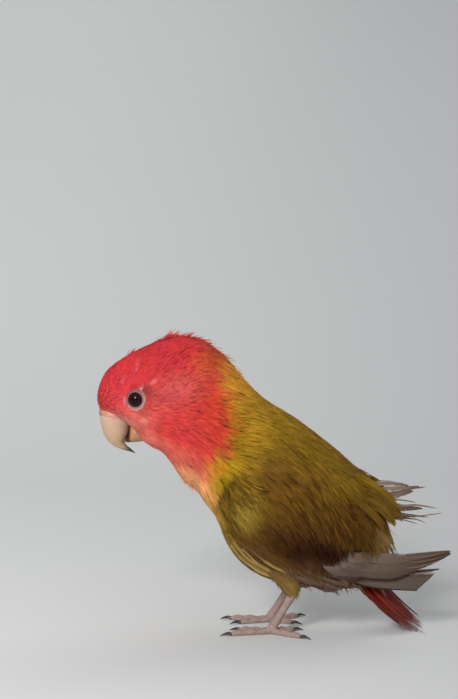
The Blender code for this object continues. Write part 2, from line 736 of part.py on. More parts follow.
limbs = {}
for side, word, droop, primaries, roll in (
        (1, "left", LEFT_DROOP, LEFT_PRIMARIES, 0.0),
        (-1, "right", RIGHT_DROOP, RIGHT_PRIMARIES, math.radians(40))):
    limbs[f"wing_{word}"] = wing(f"wing_{word}", side, droop, primaries, roll)
    limbs[f"thigh_{word}"] = thigh(f"thigh_{word}", side)
    limbs[f"foot_{word}"] = foot(f"foot_{word}", side)
    for toe, heading, length in TOES:
        limbs[f"claw_{word}_{toe}"] = claw(f"claw_{word}_{toe}", side, heading, length)
limbs["tail"] = tail("tail")
for name in ("wing_left", "wing_right", "tail", "thigh_left", "thigh_right"):
    clear = [section_loft("clearance", BODY_SECTIONS, 0, LAST, LAST * STEPS_PER_SECTION,
                          ROUND_POINTS, GAP)]
    if name.startswith("wing"):
        clear.append(thigh("thigh_clearance", 1 if name.endswith("left") else -1, GAP / MM))
        clear.append(copy_of(limbs["tail"], "tail_clearance"))
    combine(limbs[name], clear, "DIFFERENCE")
flatten_on_floor(limbs["tail"])

finish(body["head"], RED)
finish(body["neck"], ORANGE)
finish(body["torso"], OLIVE)
for eye in eyes:
    finish(eye, BLACK, 0.1)
for bill in (bill_upper, bill_lower):
    finish(bill, HORN, 0.4)
for name, limb in limbs.items():
    kind = name.split("_")[0]
    colour = {"wing": OLIVE, "tail": TAIL_RED, "thigh": OLIVE, "foot": FOOT_SKIN,
              "claw": CLAW_HORN}[kind]
    finish(limb, colour)
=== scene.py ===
"""The looks of a peach-faced lovebird, life size: skin, feathers, eyes, bill, feet and a studio.

Metres, +Z up. The bird faces -X, its left side faces -Y, and the floor is Z = 0.
Tables give millimetres and degrees, and colours as red, green, blue out of 255.
"""
import math

import bmesh
import bpy
import numpy as np
from mathutils import Matrix, Vector
from mathutils.kdtree import KDTree


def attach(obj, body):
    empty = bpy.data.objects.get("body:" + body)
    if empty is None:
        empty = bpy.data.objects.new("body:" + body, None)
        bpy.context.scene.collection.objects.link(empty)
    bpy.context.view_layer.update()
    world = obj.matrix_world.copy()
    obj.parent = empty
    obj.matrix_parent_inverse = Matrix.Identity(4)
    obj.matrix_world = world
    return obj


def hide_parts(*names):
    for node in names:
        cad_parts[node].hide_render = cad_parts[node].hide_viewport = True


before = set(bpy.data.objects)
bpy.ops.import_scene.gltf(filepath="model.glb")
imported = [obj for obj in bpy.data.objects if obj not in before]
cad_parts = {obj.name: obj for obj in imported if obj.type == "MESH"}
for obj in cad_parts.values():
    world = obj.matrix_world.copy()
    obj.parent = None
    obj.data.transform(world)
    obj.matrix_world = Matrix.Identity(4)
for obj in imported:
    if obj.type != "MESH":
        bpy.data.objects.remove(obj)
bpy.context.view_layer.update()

MM = 0.001
TAU = math.tau

# The feathered body's outline, as in the part's source:
# top x, top z, bottom x, bottom z, half width, how far the sides sweep back
BODY_SECTIONS = [
    (-68.8, 88.4, -52.4, 76.8, 6.4, 3.2),
    (-70.0, 92.8, -50.4, 75.4, 9.4, 3.0),
    (-69.2, 98.4, -47.6, 73.6, 11.6, 2.4),
    (-66.0, 104.6, -44.8, 72.4, 13.0, 1.4),
    (-59.6, 109.6, -42.4, 70.4, 14.2, 0.6),
    (-51.6, 113.8, -40.4, 67.6, 15.2, 0.0),
    (-42.4, 117.4, -38.4, 64.4, 16.0, 0.0),
    (-33.2, 118.2, -36.2, 61.2, 16.8, 0.0),
    (-25.6, 115.6, -33.6, 58.6, 17.6, 0.0),
    (-17.8, 108.8, -30.2, 56.4, 18.5, 0.0),
    (-10.6, 100.0, -26.6, 51.6, 19.8, 0.0),
    (-1.8, 92.0, -23.4, 47.6, 20.6, 0.0),
    (9.0, 85.4, -20.6, 42.0, 21.2, 0.0),
    (19.8, 77.4, -17.0, 33.6, 21.2, 0.0),
    (29.6, 69.2, -10.2, 25.6, 20.4, 0.0),
    (37.0, 62.0, -0.2, 20.2, 18.6, 0.0),
    (42.2, 54.2, 11.0, 18.0, 15.8, 0.0),
    (45.2, 46.2, 20.6, 16.8, 12.6, 0.0),
    (47.6, 39.0, 28.6, 16.6, 9.6, 0.0),
]
LAST = len(BODY_SECTIONS) - 1
EYE_AT = (-54.1, 94.2)
EYE_RADIUS = 4.3
EYE_PROUD = 0.7
WING_START, WING_END = 10.8, 17.2
WING_LOW = 144.0
WING_DEPTH = 3.2
LEFT, RIGHT = 1, -1
DROOP = {LEFT: 1.0, RIGHT: 0.62}

# How the feathers lie: x, z, and degrees below straight back
LIE_POINTS = [
    (-66, 98, -50), (-60, 104, -58), (-52, 107, -62), (-42, 112, -58), (-32, 112, -20),
    (-34, 104, -50), (-24, 108, 16), (-20, 102, 22), (-12, 98, 40), (12, 82, 37), (34, 64, 44),
    (-64, 90, -10), (-56, 84, 10), (-50, 86, 4), (-47, 96, -28), (-38, 96, -32), (-28, 96, -22),
    (-38, 88, -12), (-26, 85, 6), (-20, 92, 12), (-46, 80, 34), (-34, 76, 28), (-40, 70, 42),
    (-20, 82, 20), (-8, 74, 32), (-24, 62, 55), (-14, 52, 62), (-16, 36, 62), (4, 68, 40),
    (0, 56, 48), (14, 54, 56), (20, 46, 70), (10, 40, 62), (2, 32, 52), (-4, 24, 40),
    (28, 36, 90), (15, 32, 80), (30, 50, 54), (34, 52, 56), (42, 44, 64), (36, 34, 80),
    (24, 24, 30), (8, 22, 34),
]

# The coat along the body: section, space between tufts, their length, their width,
# a strand's width, and how deep the skin lies under the feathered outline
COAT_ROWS = np.array([
    (0.0, 0.55, 1.7, 0.6, 0.18, 0.32),
    (1.0, 0.62, 3.2, 0.8, 0.20, 0.36),
    (3.0, 0.72, 5.4, 1.0, 0.23, 0.44),
    (6.0, 0.86, 7.8, 1.2, 0.26, 0.58),
    (9.0, 1.04, 9.8, 1.5, 0.28, 1.10),
    (12.0, 1.25, 12.0, 1.9, 0.31, 1.80),
    (15.0, 1.32, 13.0, 2.1, 0.33, 1.90),
    (18.0, 1.30, 12.0, 2.1, 0.33, 1.80),
])


def unit(vectors):
    return vectors / np.maximum(np.linalg.norm(vectors, axis=-1, keepdims=True), 1e-12)


def dot(a, b):
    return (a * b).sum(axis=-1)


def smooth_step(low, high, value):
    t = np.clip((value - low) / (high - low), 0, 1)
    return t * t * (3 - 2 * t)


def coat_value(column, s):
    """A column of COAT_ROWS at section s, in millimetres."""
    return np.interp(s, COAT_ROWS[:, 0], COAT_ROWS[:, column])


def spline(rows, s):
    """The rows' numbers at section numbers s, smoothly."""
    rows = np.asarray(rows, float)
    s = np.clip(s, 0, len(rows) - 1)
    i = np.minimum(s.astype(int), len(rows) - 2)
    t = (s - i)[..., None]
    a, b = rows[np.maximum(i - 1, 0)], rows[i]
    c, d = rows[i + 1], rows[np.minimum(i + 2, len(rows) - 1)]
    return 0.5 * (2 * b + (c - a) * t + (2 * a - 5 * b + 4 * c - d) * t ** 2
                  + (3 * b - a - 3 * c + d) * t ** 3)


def section_points(rows, s, turn):
    """Points on the sections at s, at a turn round them from the top towards the left."""
    values = spline(rows, s) * MM
    top_x, top_z, bottom_x, bottom_z, half_width, sweep = np.moveaxis(values, -1, 0)
    rise = np.stack([top_x - bottom_x, np.zeros_like(top_x), top_z - bottom_z], axis=-1)
    middle = np.stack([(top_x + bottom_x) / 2, np.zeros_like(top_x), (top_z + bottom_z) / 2], -1)
    up = unit(rise)
    back = np.stack([up[..., 2], np.zeros_like(top_x), -up[..., 0]], axis=-1)
    points = middle + rise / 2 * np.cos(turn)[..., None]
    points[..., 1] -= half_width * np.sin(turn)
    return points + back * (sweep * np.sin(turn) ** 2)[..., None]


def fold_turn(turn):
    """The turn from the back's ridge to either side, 0 to pi."""
    turn = np.mod(turn, TAU)
    return np.where(turn < math.pi, turn, TAU - turn)


def side_droop(turn):
    return np.where(np.mod(turn, TAU) < math.pi, DROOP[LEFT], DROOP[RIGHT])


def wing_top(s):
    s = np.minimum(s, WING_END)
    return np.radians(12 + 83 * ((WING_END - s) / (WING_END - WING_START)) ** 2)


def wing_bottom(s, droop):
    front = WING_LOW - 20 * np.maximum(12.2 - s, 0) ** 2
    back = WING_LOW - (10 + 40 * (1 - droop)) * (np.maximum(s - 12.2, 0) / 5) ** 1.5
    return np.radians(np.where(s < 12.2, front, back))


def wing_across(s, turn):
    """How far across the folded wing a place is, from 0 at its top edge to 1 at its low one."""
    low, high = wing_top(s), wing_bottom(s, side_droop(turn))
    return (fold_turn(turn) - low) / np.maximum(high - low, 0.05)


def wing_bulge(s, turn):
    """How far the folded wing stands out from the body there, in millimetres."""
    across = np.clip(wing_across(s, turn), 0, 1)
    front = np.clip((s - WING_START) / 1.2, 0, 1) ** 0.5
    back = 1.0 - 0.55 * np.maximum(0.0, (s - 14.5) / 3.0)
    inside = s < WING_END + 0.6
    return WING_DEPTH * np.sin(np.pi * across) ** 0.7 * front * back * inside


class Bed:
    """A closed form as a grid of points, to lay feathers on. Rows run along it, turns round it."""

    def __init__(self, points, last):
        self.points = points
        self.last = last
        rows, turns = points.shape[0] - 1, points.shape[1] - 1
        self.along = np.gradient(points, last / rows, axis=0)
        ring = points[:, :-1]
        self.around = (np.roll(ring, -1, axis=1) - np.roll(ring, 1, axis=1)) / (2 * TAU / turns)
        self.around = np.concatenate([self.around, self.around[:, :1]], axis=1)
        self.normals = unit(np.cross(self.around, self.along))

    def at(self, s, turn):
        """Point, normal, and the ways along and around per section and radian."""
        rows, turns = self.points.shape[0] - 1, self.points.shape[1] - 1
        inside = np.clip(s, 0, self.last)
        y = inside / self.last * rows
        x = np.mod(turn, TAU) / TAU * turns
        i = np.minimum(y.astype(int), rows - 1)
        j = np.minimum(x.astype(int), turns - 1)
        fy, fx = (y - i)[..., None], (x - j)[..., None]

        def mix(grid):
            low = grid[i, j] * (1 - fx) + grid[i, j + 1] * fx
            high = grid[i + 1, j] * (1 - fx) + grid[i + 1, j + 1] * fx
            return low * (1 - fy) + high * fy

        along = mix(self.along)
        point = mix(self.points) + along * (s - inside)[..., None]
        return point, unit(mix(self.normals)), along, mix(self.around)


def body_bed(with_wings=True, rows=360, turns=384):
    s = np.linspace(0, LAST, rows + 1)[:, None] * np.ones(turns + 1)
    turn = np.linspace(0, TAU, turns + 1)[None, :] * np.ones((rows + 1, 1))
    bare = Bed(section_points(BODY_SECTIONS, s, turn), LAST)
    if not with_wings:
        return bare
    out = wing_bulge(s, turn) * MM
    return Bed(bare.points + bare.normals * out[..., None], LAST)


def rates(along, around, way):
    """How fast section and turn change for a step along a way that lies in the surface."""
    aa, bb, ab = dot(along, along), dot(around, around), dot(along, around)
    wa, wb = dot(way, along), dot(way, around)
    ground = aa * bb - ab * ab
    return (wa * bb - wb * ab) / ground, (wb * aa - wa * ab) / ground


def lie(points, normals):
    """The way the feathers point there, along the surface."""
    heading = np.zeros_like(points)
    for x, z, degrees in LIE_POINTS:
        away = (points[..., 0] / MM - x) ** 2 + (points[..., 2] / MM - z) ** 2 + 9.0
        angle = math.radians(degrees)
        way = np.array([math.cos(angle), 0, -math.sin(angle)])
        heading += way * (away ** -1.6)[..., None]
    heading = unit(heading)
    return unit(heading - normals * dot(heading, normals)[..., None])


def scatter(bed, wanted, spacing, count, seed):
    """Roots spread evenly over the wanted part of a bed, as sections and turns."""
    draw = np.random.default_rng(seed)
    s = draw.uniform(0, bed.last, count)
    turn = draw.uniform(0, TAU, count)
    point, _, along, around = bed.at(s, turn)
    gap = spacing(s) * MM
    area = np.linalg.norm(np.cross(along, around), axis=-1) / gap ** 2
    keep = wanted(s, turn, point) & (draw.uniform(0, 1, count) < area / area.max())
    s, turn, point, gap = s[keep], turn[keep], point[keep], gap[keep]
    tree = KDTree(len(s))
    for i, place in enumerate(point):
        tree.insert(place, i)
    tree.balance()
    gone = np.zeros(len(s), bool)
    kept = []
    for i in range(len(s)):
        if gone[i]:
            continue
        kept.append(i)
        for _, j, _ in tree.find_range(point[i], gap[i]):
            gone[j] = True
    return s[kept], turn[kept]


def mesh_from_arrays(name, points, polygons, attributes=None, bake_map=None, smooth=True):
    """A mesh from points and lists of equal-sided polygons, with values per point."""
    mesh = bpy.data.meshes.new(name)
    corners = np.concatenate([p.ravel() for p in polygons])
    sizes = np.concatenate([np.full(len(p), p.shape[1]) for p in polygons])
    starts = np.concatenate([[0], np.cumsum(sizes)[:-1]])
    mesh.vertices.add(len(points))
    mesh.vertices.foreach_set("co", points.astype(np.float32).ravel())
    mesh.loops.add(len(corners))
    mesh.loops.foreach_set("vertex_index", corners.astype(np.int32))
    mesh.polygons.add(len(sizes))
    mesh.polygons.foreach_set("loop_start", starts.astype(np.int32))
    mesh.update(calc_edges=True)
    mesh.polygons.foreach_set("use_smooth", np.full(len(sizes), smooth))
    for label, values in (attributes or {}).items():
        kind = "FLOAT_VECTOR" if values.ndim == 2 else "FLOAT"
        field = "vector" if values.ndim == 2 else "value"
        layer = mesh.attributes.new(label, kind, "POINT")
        layer.data.foreach_set(field, values.astype(np.float32).ravel())
    if bake_map is not None:
        layer = mesh.uv_layers.new(name="OFBake")
        layer.uv.foreach_set("vector", bake_map[corners].astype(np.float32).ravel())
    obj = bpy.data.objects.new(name, mesh)
    bpy.context.scene.collection.objects.link(obj)
    return obj


class Strands:
    """Collects closed three-sided strands of feather, and makes one mesh of them."""

    def __init__(self):
        self.points, self.polygons, self.values, self.maps = [], {3: [], 4: []}, {}, []
        self.count = 0

    def add(self, centres, normals, half_width, thick, bake_spot, **values):
        """Strands through rows of centres (strand, ring, xyz), which end in a point.

        bake_spot is each strand's place on the bake map, and values are per strand and ring.
        """
        many, rings = centres.shape[:2]
        ahead = np.gradient(centres, axis=1)
        side = unit(np.cross(ahead, normals))
        up = unit(np.cross(side, ahead))
        body = slice(0, rings - 1)
        reach = side[:, body] * half_width[:, body, None]
        ridge = centres[:, body] + up[:, body] * thick[:, body, None]
        ring = np.stack([centres[:, body] - reach, centres[:, body] + reach, ridge], axis=2)
        points = np.concatenate([ring.reshape(many, -1, 3), centres[:, -1:]], axis=1)
        each = points.shape[1]
        first = self.count + np.arange(many)[:, None] * each
        quads, tris = [], [np.array([0, 2, 1])]
        for j in range(rings - 2):
            a = 3 * j
            quads += [np.array([a + m, a + n, a + n + 3, a + m + 3])
                      for m, n in ((0, 1), (1, 2), (2, 0))]
        a = 3 * (rings - 2)
        tris += [np.array([a + m, a + n, each - 1]) for m, n in ((0, 1), (1, 2), (2, 0))]
        for size, faces in ((4, quads), (3, tris)):
            if faces:
                table = first[:, :, None] + np.array(faces)[None]
                self.polygons[size].append(table.reshape(-1, size))
        self.points.append(points.reshape(-1, 3))
        for label, value in values.items():
            value = np.broadcast_to(value, (many, rings) + value.shape[2:])
            spread = np.repeat(value[:, body], 3, axis=1)
            spread = np.concatenate([spread, value[:, -1:]], axis=1)
            shape = (-1, 3) if value.ndim == 3 else (-1,)
            self.values.setdefault(label, []).append(spread.reshape(shape))
        across = np.concatenate([np.tile([-0.5, 0.5, 0.0], rings - 1), [0.0]])
        run = np.concatenate([np.repeat(np.arange(rings - 1) / (rings - 1), 3), [1.0]]) - 0.5
        patch = np.stack([across, run], axis=-1) * 0.003
        if bake_spot.ndim == 2:
            bake_spot = bake_spot[:, None, :] + patch[None]
        else:
            body_spot = np.repeat(bake_spot[:, body], 3, axis=1)
            bake_spot = np.concatenate([body_spot, bake_spot[:, -1:]], axis=1)
        self.maps.append(bake_spot.reshape(-1, 2))
        self.count += many * each

    def build(self, name):
        polygons = [np.concatenate(p) for p in self.polygons.values() if p]
        values = {label: np.concatenate(parts) for label, parts in self.values.items()}
        points = np.concatenate(self.points)
        low = 0.5 * MM
        points[:, 2] = np.where(points[:, 2] < low, low * np.exp(points[:, 2] / low - 1), points[:, 2])
        return mesh_from_arrays(name, points, polygons, values, np.concatenate(self.maps),
                                smooth=False)


# Materials


def add_node(tree, kind, settings=None, **inputs):
    """A shader node with its settings, and its inputs linked or set by name or number (_0)."""
    made = tree.nodes.new("ShaderNode" + kind)
    for key, value in (settings or {}).items():
        setattr(made, key, value)
    for key, value in inputs.items():
        socket = made.inputs[int(key[1:])] if key[0] == "_" else made.inputs[key.replace("_", " ")]
        if isinstance(value, bpy.types.NodeSocket):
            tree.links.new(value, socket)
        else:
            socket.default_value = value
    return made


def maths(tree, operation, a, b=0.0, c=0.0):
    return add_node(tree, "Math", {"operation": operation}, _0=a, _1=b, _2=c).outputs[0]


def remap(tree, value, low, high, to_low=0.0, to_high=1.0):
    made = add_node(tree, "MapRange", {"interpolation_type": "SMOOTHSTEP"}, Value=value,
                    From_Min=low, From_Max=high, To_Min=to_low, To_Max=to_high)
    return made.outputs[0]


def mix_colour(tree, share, a, b, blend="MIX"):
    made = add_node(tree, "Mix", {"data_type": "RGBA", "blend_type": blend}, _0=share)
    for number, value in ((6, a), (7, b)):
        if isinstance(value, bpy.types.NodeSocket):
            tree.links.new(value, made.inputs[number])
        else:
            made.inputs[number].default_value = value
    return made.outputs[2]


def colour(red, green, blue):
    """A colour given as it looks, out of 255, as Blender's linear numbers."""
    shares = [v / 255 for v in (red, green, blue)]
    linear = [v / 12.92 if v <= 0.04045 else ((v + 0.055) / 1.055) ** 2.4 for v in shares]
    return (*linear, 1.0)


def new_group(name, inputs, outputs):
    group = bpy.data.node_groups.new(name, "ShaderNodeTree")
    for label, kind, value in inputs:
        socket = group.interface.new_socket(name=label, in_out="INPUT", socket_type=kind)
        if value is not None:
            socket.default_value = value
    for label, kind in outputs:
        group.interface.new_socket(name=label, in_out="OUTPUT", socket_type=kind)
    return group, group.nodes.new("NodeGroupInput").outputs, group.nodes.new("NodeGroupOutput")


def use_group(tree, group, **inputs):
    made = tree.nodes.new("ShaderNodeGroup")
    made.node_tree = group
    for key, value in inputs.items():
        socket = made.inputs[key.replace("_", " ")]
        if isinstance(value, bpy.types.NodeSocket):
            tree.links.new(value, socket)
        else:
            socket.default_value = value
    return made.outputs


def new_material(name, **fixed):
    """A material, its tree, and its shader with the given plain values."""
    material = bpy.data.materials.new(name)
    material.use_nodes = True
    shader = material.node_tree.nodes["Principled BSDF"]
    for key, value in fixed.items():
        shader.inputs[key.replace("_", " ")].default_value = value
    return material, material.node_tree, shader


def attribute(tree, name, kind="Fac"):
    return add_node(tree, "Attribute", {"attribute_name": name}).outputs[kind]


# Soft marks over the plain olive: name, centre x and z, radii along x and z, tilt, softness
# of the edge as a share of the radius, colour, strength, and how far to the sides it goes
OLIVE = (122, 94, 20)
# A few marks are painted shade or light, as noted beside them
MARKS = [
    ("mantle gold", (4, 83), (26, 10), 40, 0.60, (144, 112, 25), 0.95),
    ("low back", (27, 64), (24, 12), 40, 0.60, (118, 88, 14), 0.8),
        ("rump", (41, 49), (11, 12), 40, 0.60, (100, 72, 22), 0.8),
    ("rump pale", (43.5, 36.5), (5.5, 6.5), 30, 0.50, (160, 130, 78), 0.9),
    ("wing gold", (8, 66), (18, 9), 40, 0.60, (122, 90, 20), 0.8),
    ("wing brown", (12, 54), (24, 10), 40, 0.60, (98, 66, 16), 0.85),
    # partly painted shade: the wing's own brown, deepened towards the wing's lower edge
    ("lower wing brown", (13, 37), (26, 10), 20, 0.90, (70, 37, 12), 0.95),
    ("wing rear brown", (28, 47), (12, 9), 40, 0.60, (88, 55, 12), 0.7),
    # partly painted shade: the wing's own dark brown along its lower edge, deepened for the shade there
    ("wing edge brown", (20, 32), (18, 6), 15, 0.60, (44, 14, 2), 0.95),
    ("shoulder", (-12.4, 50.4), (5.6, 7.2), 20, 0.80, (158, 132, 50), 0.85),
    ("under wing", (17, 26.4), (12, 4.6), 14, 0.70, (84, 54, 32), 0.9),
    ("flank pale", (-4, 29), (16, 6), 42, 0.60, (94, 66, 36), 0.9),
    ("belly", (6, 16), (34, 9), 8, 0.60, (142, 112, 62), 0.9),
    ("vent", (38, 22), (12, 8), 0, 0.60, (130, 86, 40), 0.8),
    ("neck gold", (-12, 88), (12, 26), 15, 0.45, (168, 126, 32), 0.95),
    ("nape gold", (-15, 104), (8, 12), 30, 0.60, (198, 140, 42), 0.9),
    ("breast yellow", (-27, 50), (5, 9), 20, 0.80, (186, 146, 56), 0.6),
    ("breast peach", (-31, 59), (8, 13), 30, 0.60, (234, 166, 108), 0.95),
    ("breast orange", (-25.5, 53), (4, 7), 20, 0.60, (222, 160, 90), 0.8),
    ("neck yellow", (-20.9, 65.4), (6.8, 8.2), -20, 0.50, (176, 140, 14), 0.95),
    ("neck side", (-14.6, 79.5), (3.6, 9), -12, 0.80, (144, 108, 10), 0.85),
    ("shoulder olive", (-15.2, 57.0), (4.6, 7.4), 10, 0.90, (96, 72, 8), 0.85),
    ("bend front", (-18.0, 43.0), (4.6, 8.5), -12, 0.60, (106, 76, 18), 0.85),
    # painted shadow: thin dark lines along the folded wing's bend, where its edge stands over the breast
    ("bend shadow line high", (-16.6, 60.8), (1.2, 5.2), 35, 0.80, (62, 46, 10), 0.75),
    ("bend shadow line", (-20.6, 52.8), (1.1, 5.0), 18, 0.80, (62, 46, 10), 0.7),
    ("bend shadow line low", (-20.3, 44.0), (1.0, 6.0), -14, 0.80, (70, 52, 14), 0.6),
    ("breast low", (-19, 40), (10, 14), 20, 0.70, (146, 120, 44), 0.85, 9.0),
    ("breast middle", (-22.5, 49.5), (6, 7.5), 20, 0.80, (192, 148, 66), 0.85, 9.5),
    ("hood orange", (-48, 99), (28, 39.6), -38, 0.13, (190, 88, 36), 0.9),
    ("red hood", (-49.5, 99.6), (25.6, 36.8), -38, 0.13, (208, 62, 58), 1.0),
    ("crown crimson", (-48, 110), (26, 13), -5, 0.50, (198, 50, 54), 1.0),
    ("hood rear", (-25, 90), (6, 14), -10, 0.80, (186, 54, 30), 0.8),
    ("nape glow", (-14.5, 102.5), (5, 7), 30, 0.80, (206, 144, 44), 0.6),
    ("hood top orange", (-27, 108), (5, 5), 30, 0.70, (204, 86, 44), 0.7),
    ("forehead", (-63, 101), (9, 10), 30, 0.60, (210, 54, 64), 0.8),
    ("lores", (-62, 93), (6, 5), 0, 0.60, (208, 64, 70), 0.8),
    ("pale ear patch", (-38, 97), (11, 6), -20, 0.90, (208, 94, 90), 0.6),
    ("ear shade", (-43.8, 95.0), (4.2, 2.2), -10, 0.80, (184, 56, 62), 0.6),
    ("cheek crimson", (-32, 87), (8, 7), 20, 0.80, (208, 58, 58), 0.6),
    ("below eye", (-54, 86), (8, 5), 10, 0.70, (218, 110, 98), 0.7),
    ("coral chin", (-46, 73.4), (17, 5.4), 30, 0.60, (230, 116, 100), 0.8),
    # painted light: the chin is made paler, for light that reaches it from below
    ("chin", (-50, 76.4), (3.5, 4.0), 0, 0.70, (250, 136, 120), 0.75),
    ("throat pink", (-34, 68), (10, 6), 30, 0.60, (214, 96, 80), 0.7),
    ("throat peach", (-33.5, 62.0), (7, 4), 35, 0.70, (240, 170, 118), 0.85),
    ("bill root", (-62.6, 85.4), (8.5, 2.6), 15, 0.60, (222, 146, 130), 0.85),
    ("brow shade", (-49.8, 98.0), (2.4, 1.7), 40, 0.70, (136, 66, 64), 0.65),
    ("brow speck", (-51.6, 98.7), (0.6, 1.1), 20, 0.80, (226, 156, 152), 0.75),
    ("forehead streak", (-53.6, 106.9), (0.5, 2.8), 4, 0.90, (230, 98, 108), 0.5),
    ("ring front", (-58.0, 93.6), (0.8, 1.5), 0, 0.80, (204, 136, 138), 0.6),
    ("front streak", (-59.2, 102.0), (0.6, 1.7), 15, 0.90, (224, 92, 100), 0.45),
    ("gape speck", (-51.0, 86.0), (1.5, 1.1), 20, 0.80, (238, 146, 130), 0.7),
    ("ear speck", (-46.8, 101.2), (1.3, 0.6), -30, 0.80, (230, 140, 132), 0.6),
]


def markings_group():
    """The bird's colours by place, shared by skin and coat; a few marks among them are painted shade or light."""
    group, given, out = new_group(
        "lovebird_markings", [("Place", "NodeSocketVector", None), ("Ruffle", "NodeSocketFloat", 1.0)],
        [("Color", "NodeSocketColor")])
    noise = add_node(group, "TexNoise", None, Vector=given["Place"], Scale=260.0, Detail=3.0)
    ruffle = maths(group, "MULTIPLY", maths(group, "SUBTRACT", noise.outputs[0], 0.5), 0.42)
    ruffle = maths(group, "MULTIPLY", ruffle, given["Ruffle"])
    shown = colour(*OLIVE)
    for _, (x, z), (long, wide), tilt, soft, tone, strength, *sides in MARKS:
        reach = sides[0] * MM if sides else 1.0
        local = add_node(group, "Mapping", {"vector_type": "TEXTURE"}, Vector=given["Place"],
                         Location=(x * MM, 0, z * MM), Rotation=(0, math.radians(tilt), 0),
                         Scale=(long * MM, reach, wide * MM))
        away = add_node(group, "VectorMath", {"operation": "LENGTH"}, _0=local.outputs[0])
        edge = maths(group, "ADD", away.outputs["Value"], ruffle)
        share = remap(group, edge, 1 - soft, 1 + soft, strength, 0.0)
        shown = mix_colour(group, share, shown, colour(*tone))
    group.links.new(shown, out.inputs[0])
    return group


MARKINGS = markings_group()


def coat_material(name, contrast=1.0, roots=0.75, velvet=0.15, shade=1.0):
    """Feather strands in the colour of the place where their tuft shows, darker at the root, partly as the grey down
    at a feather's base and partly as painted shade between the tufts.
    """
    material, tree, shader = new_material(name, Roughness=0.65, Specular_IOR_Level=0.10,
                                          Sheen_Weight=velvet, Sheen_Roughness=0.5,
                                          Sheen_Tint=(1.0, 0.86, 0.74, 1.0))
    shown = use_group(tree, MARKINGS, Place=attribute(tree, "place", "Vector"))[0]
    tuft, strand = attribute(tree, "tuft"), attribute(tree, "strand")
    along = attribute(tree, "along")
    value = maths(tree, "MULTIPLY_ADD", tuft, 0.16 * contrast, 1.0 - 0.08 * contrast)
    glow = maths(tree, "MULTIPLY_ADD", strand, 0.30 * contrast, 1.0 - 0.15 * contrast)
    # partly painted shade: strands darken towards the root, for the grey down there and the shade between tufts
    depth = remap(tree, along, 0.0, 0.75, roots, 1.06)
    value = maths(tree, "MULTIPLY", maths(tree, "MULTIPLY", value, glow), depth)
    cloud = add_node(tree, "TexNoise", None, Vector=attribute(tree, "place", "Vector"), Scale=140.0,
                     Detail=2.0)
    cloud = remap(tree, cloud.outputs[0], 0.3, 0.7, shade * (1 - 0.12 * contrast),
                  shade * (1 + 0.12 * contrast))
    value = maths(tree, "MULTIPLY", value, cloud)
    hue = maths(tree, "MULTIPLY_ADD", tuft, 0.012 * contrast, 0.5 - 0.006 * contrast)
    toned = add_node(tree, "HueSaturation", None, Hue=hue, Saturation=1.0, Value=value, Color=shown)
    tree.links.new(toned.outputs[0], shader.inputs["Base Color"])
    return material


def skin_material(name):
    material, tree, shader = new_material(name, Roughness=0.7)
    place = add_node(tree, "NewGeometry").outputs["Position"]
    shown = use_group(tree, MARKINGS, Place=place)[0]
    # painted shade: the markings a little darker on the skin, for where it shows in the coat's gaps
    dark = mix_colour(tree, 1.0, shown, (0.93, 0.86, 0.84, 1), "MULTIPLY")
    bumps = add_node(tree, "TexNoise", None, Vector=place, Scale=900.0, Detail=3.0)
    bump = add_node(tree, "Bump", None, Strength=0.5, Distance=0.0004, Height=bumps.outputs[0])
    tree.links.new(dark, shader.inputs["Base Color"])
    tree.links.new(bump.outputs[0], shader.inputs["Normal"])
    return material


# The skin


def finish_piece(obj, slot, *replaced):
    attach(obj, "root")
    if replaced:
        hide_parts(*replaced)
    return obj


def grid_faces(rows, turns, first=0):
    """Quads over a grid of rows of points that close round."""
    i, j = np.meshgrid(np.arange(rows - 1), np.arange(turns), indexing="ij")
    k = (j + 1) % turns
    quads = [i * turns + j, i * turns + k, (i + 1) * turns + k, (i + 1) * turns + j]
    return first + np.stack(quads, axis=-1).reshape(-1, 4)


def closed_grid(name, rings):
    """A closed smooth form through rings of points, with its ends drawn to a middle point."""
    rows, turns = rings.shape[:2]
    points = np.concatenate([rings.reshape(-1, 3), rings[:1].mean(1), rings[-1:].mean(1)])
    j = np.arange(turns)
    k = (j + 1) % turns
    start, end = np.full(turns, rows * turns), np.full(turns, rows * turns + 1)
    last = (rows - 1) * turns
    caps = np.concatenate([np.stack([k, j, start], -1), np.stack([last + j, last + k, end], -1)])
    return mesh_from_arrays(name, points, [grid_faces(rows, turns), caps])


def apply_modifiers(obj):
    graph = bpy.context.evaluated_depsgraph_get()
    made = bpy.data.meshes.new_from_object(obj.evaluated_get(graph))
    obj.modifiers.clear()
    obj.data = made


def joined(name, parts):
    """One object from several, with their meshes put together."""
    whole = bmesh.new()
    for part in parts:
        whole.from_mesh(part.data)
        bpy.data.objects.remove(part)
    mesh = bpy.data.meshes.new(name)
    whole.to_mesh(mesh)
    whole.free()
    obj = bpy.data.objects.new(name, mesh)
    bpy.context.scene.collection.objects.link(obj)
    return obj


def remeshed(name, parts, voxel, smoothing):
    """One closed skin over several closed forms that pass into each other."""
    obj = joined(name, parts)
    remesh = obj.modifiers.new("one skin", "REMESH")
    remesh.mode = "VOXEL"
    remesh.voxel_size = voxel * MM
    soften = obj.modifiers.new("soften", "SMOOTH")
    soften.iterations = smoothing
    soften.factor = 0.6
    apply_modifiers(obj)
    obj.data.polygons.foreach_set("use_smooth", np.ones(len(obj.data.polygons), bool))
    return obj


LEG_SIDE = 9.5
KNEE = (2.5, 33.0)
ANKLE = (8.0, 15.6)
# A thigh's share of the way from knee to ankle, half length and half width
THIGH_RINGS = [(-0.25, 8.6, 6.2), (0.0, 9.0, 6.6), (0.3, 8.0, 6.0), (0.55, 6.4, 5.0),
               (0.78, 4.4, 3.6), (0.93, 2.9, 2.6), (1.0, 2.2, 2.1)]


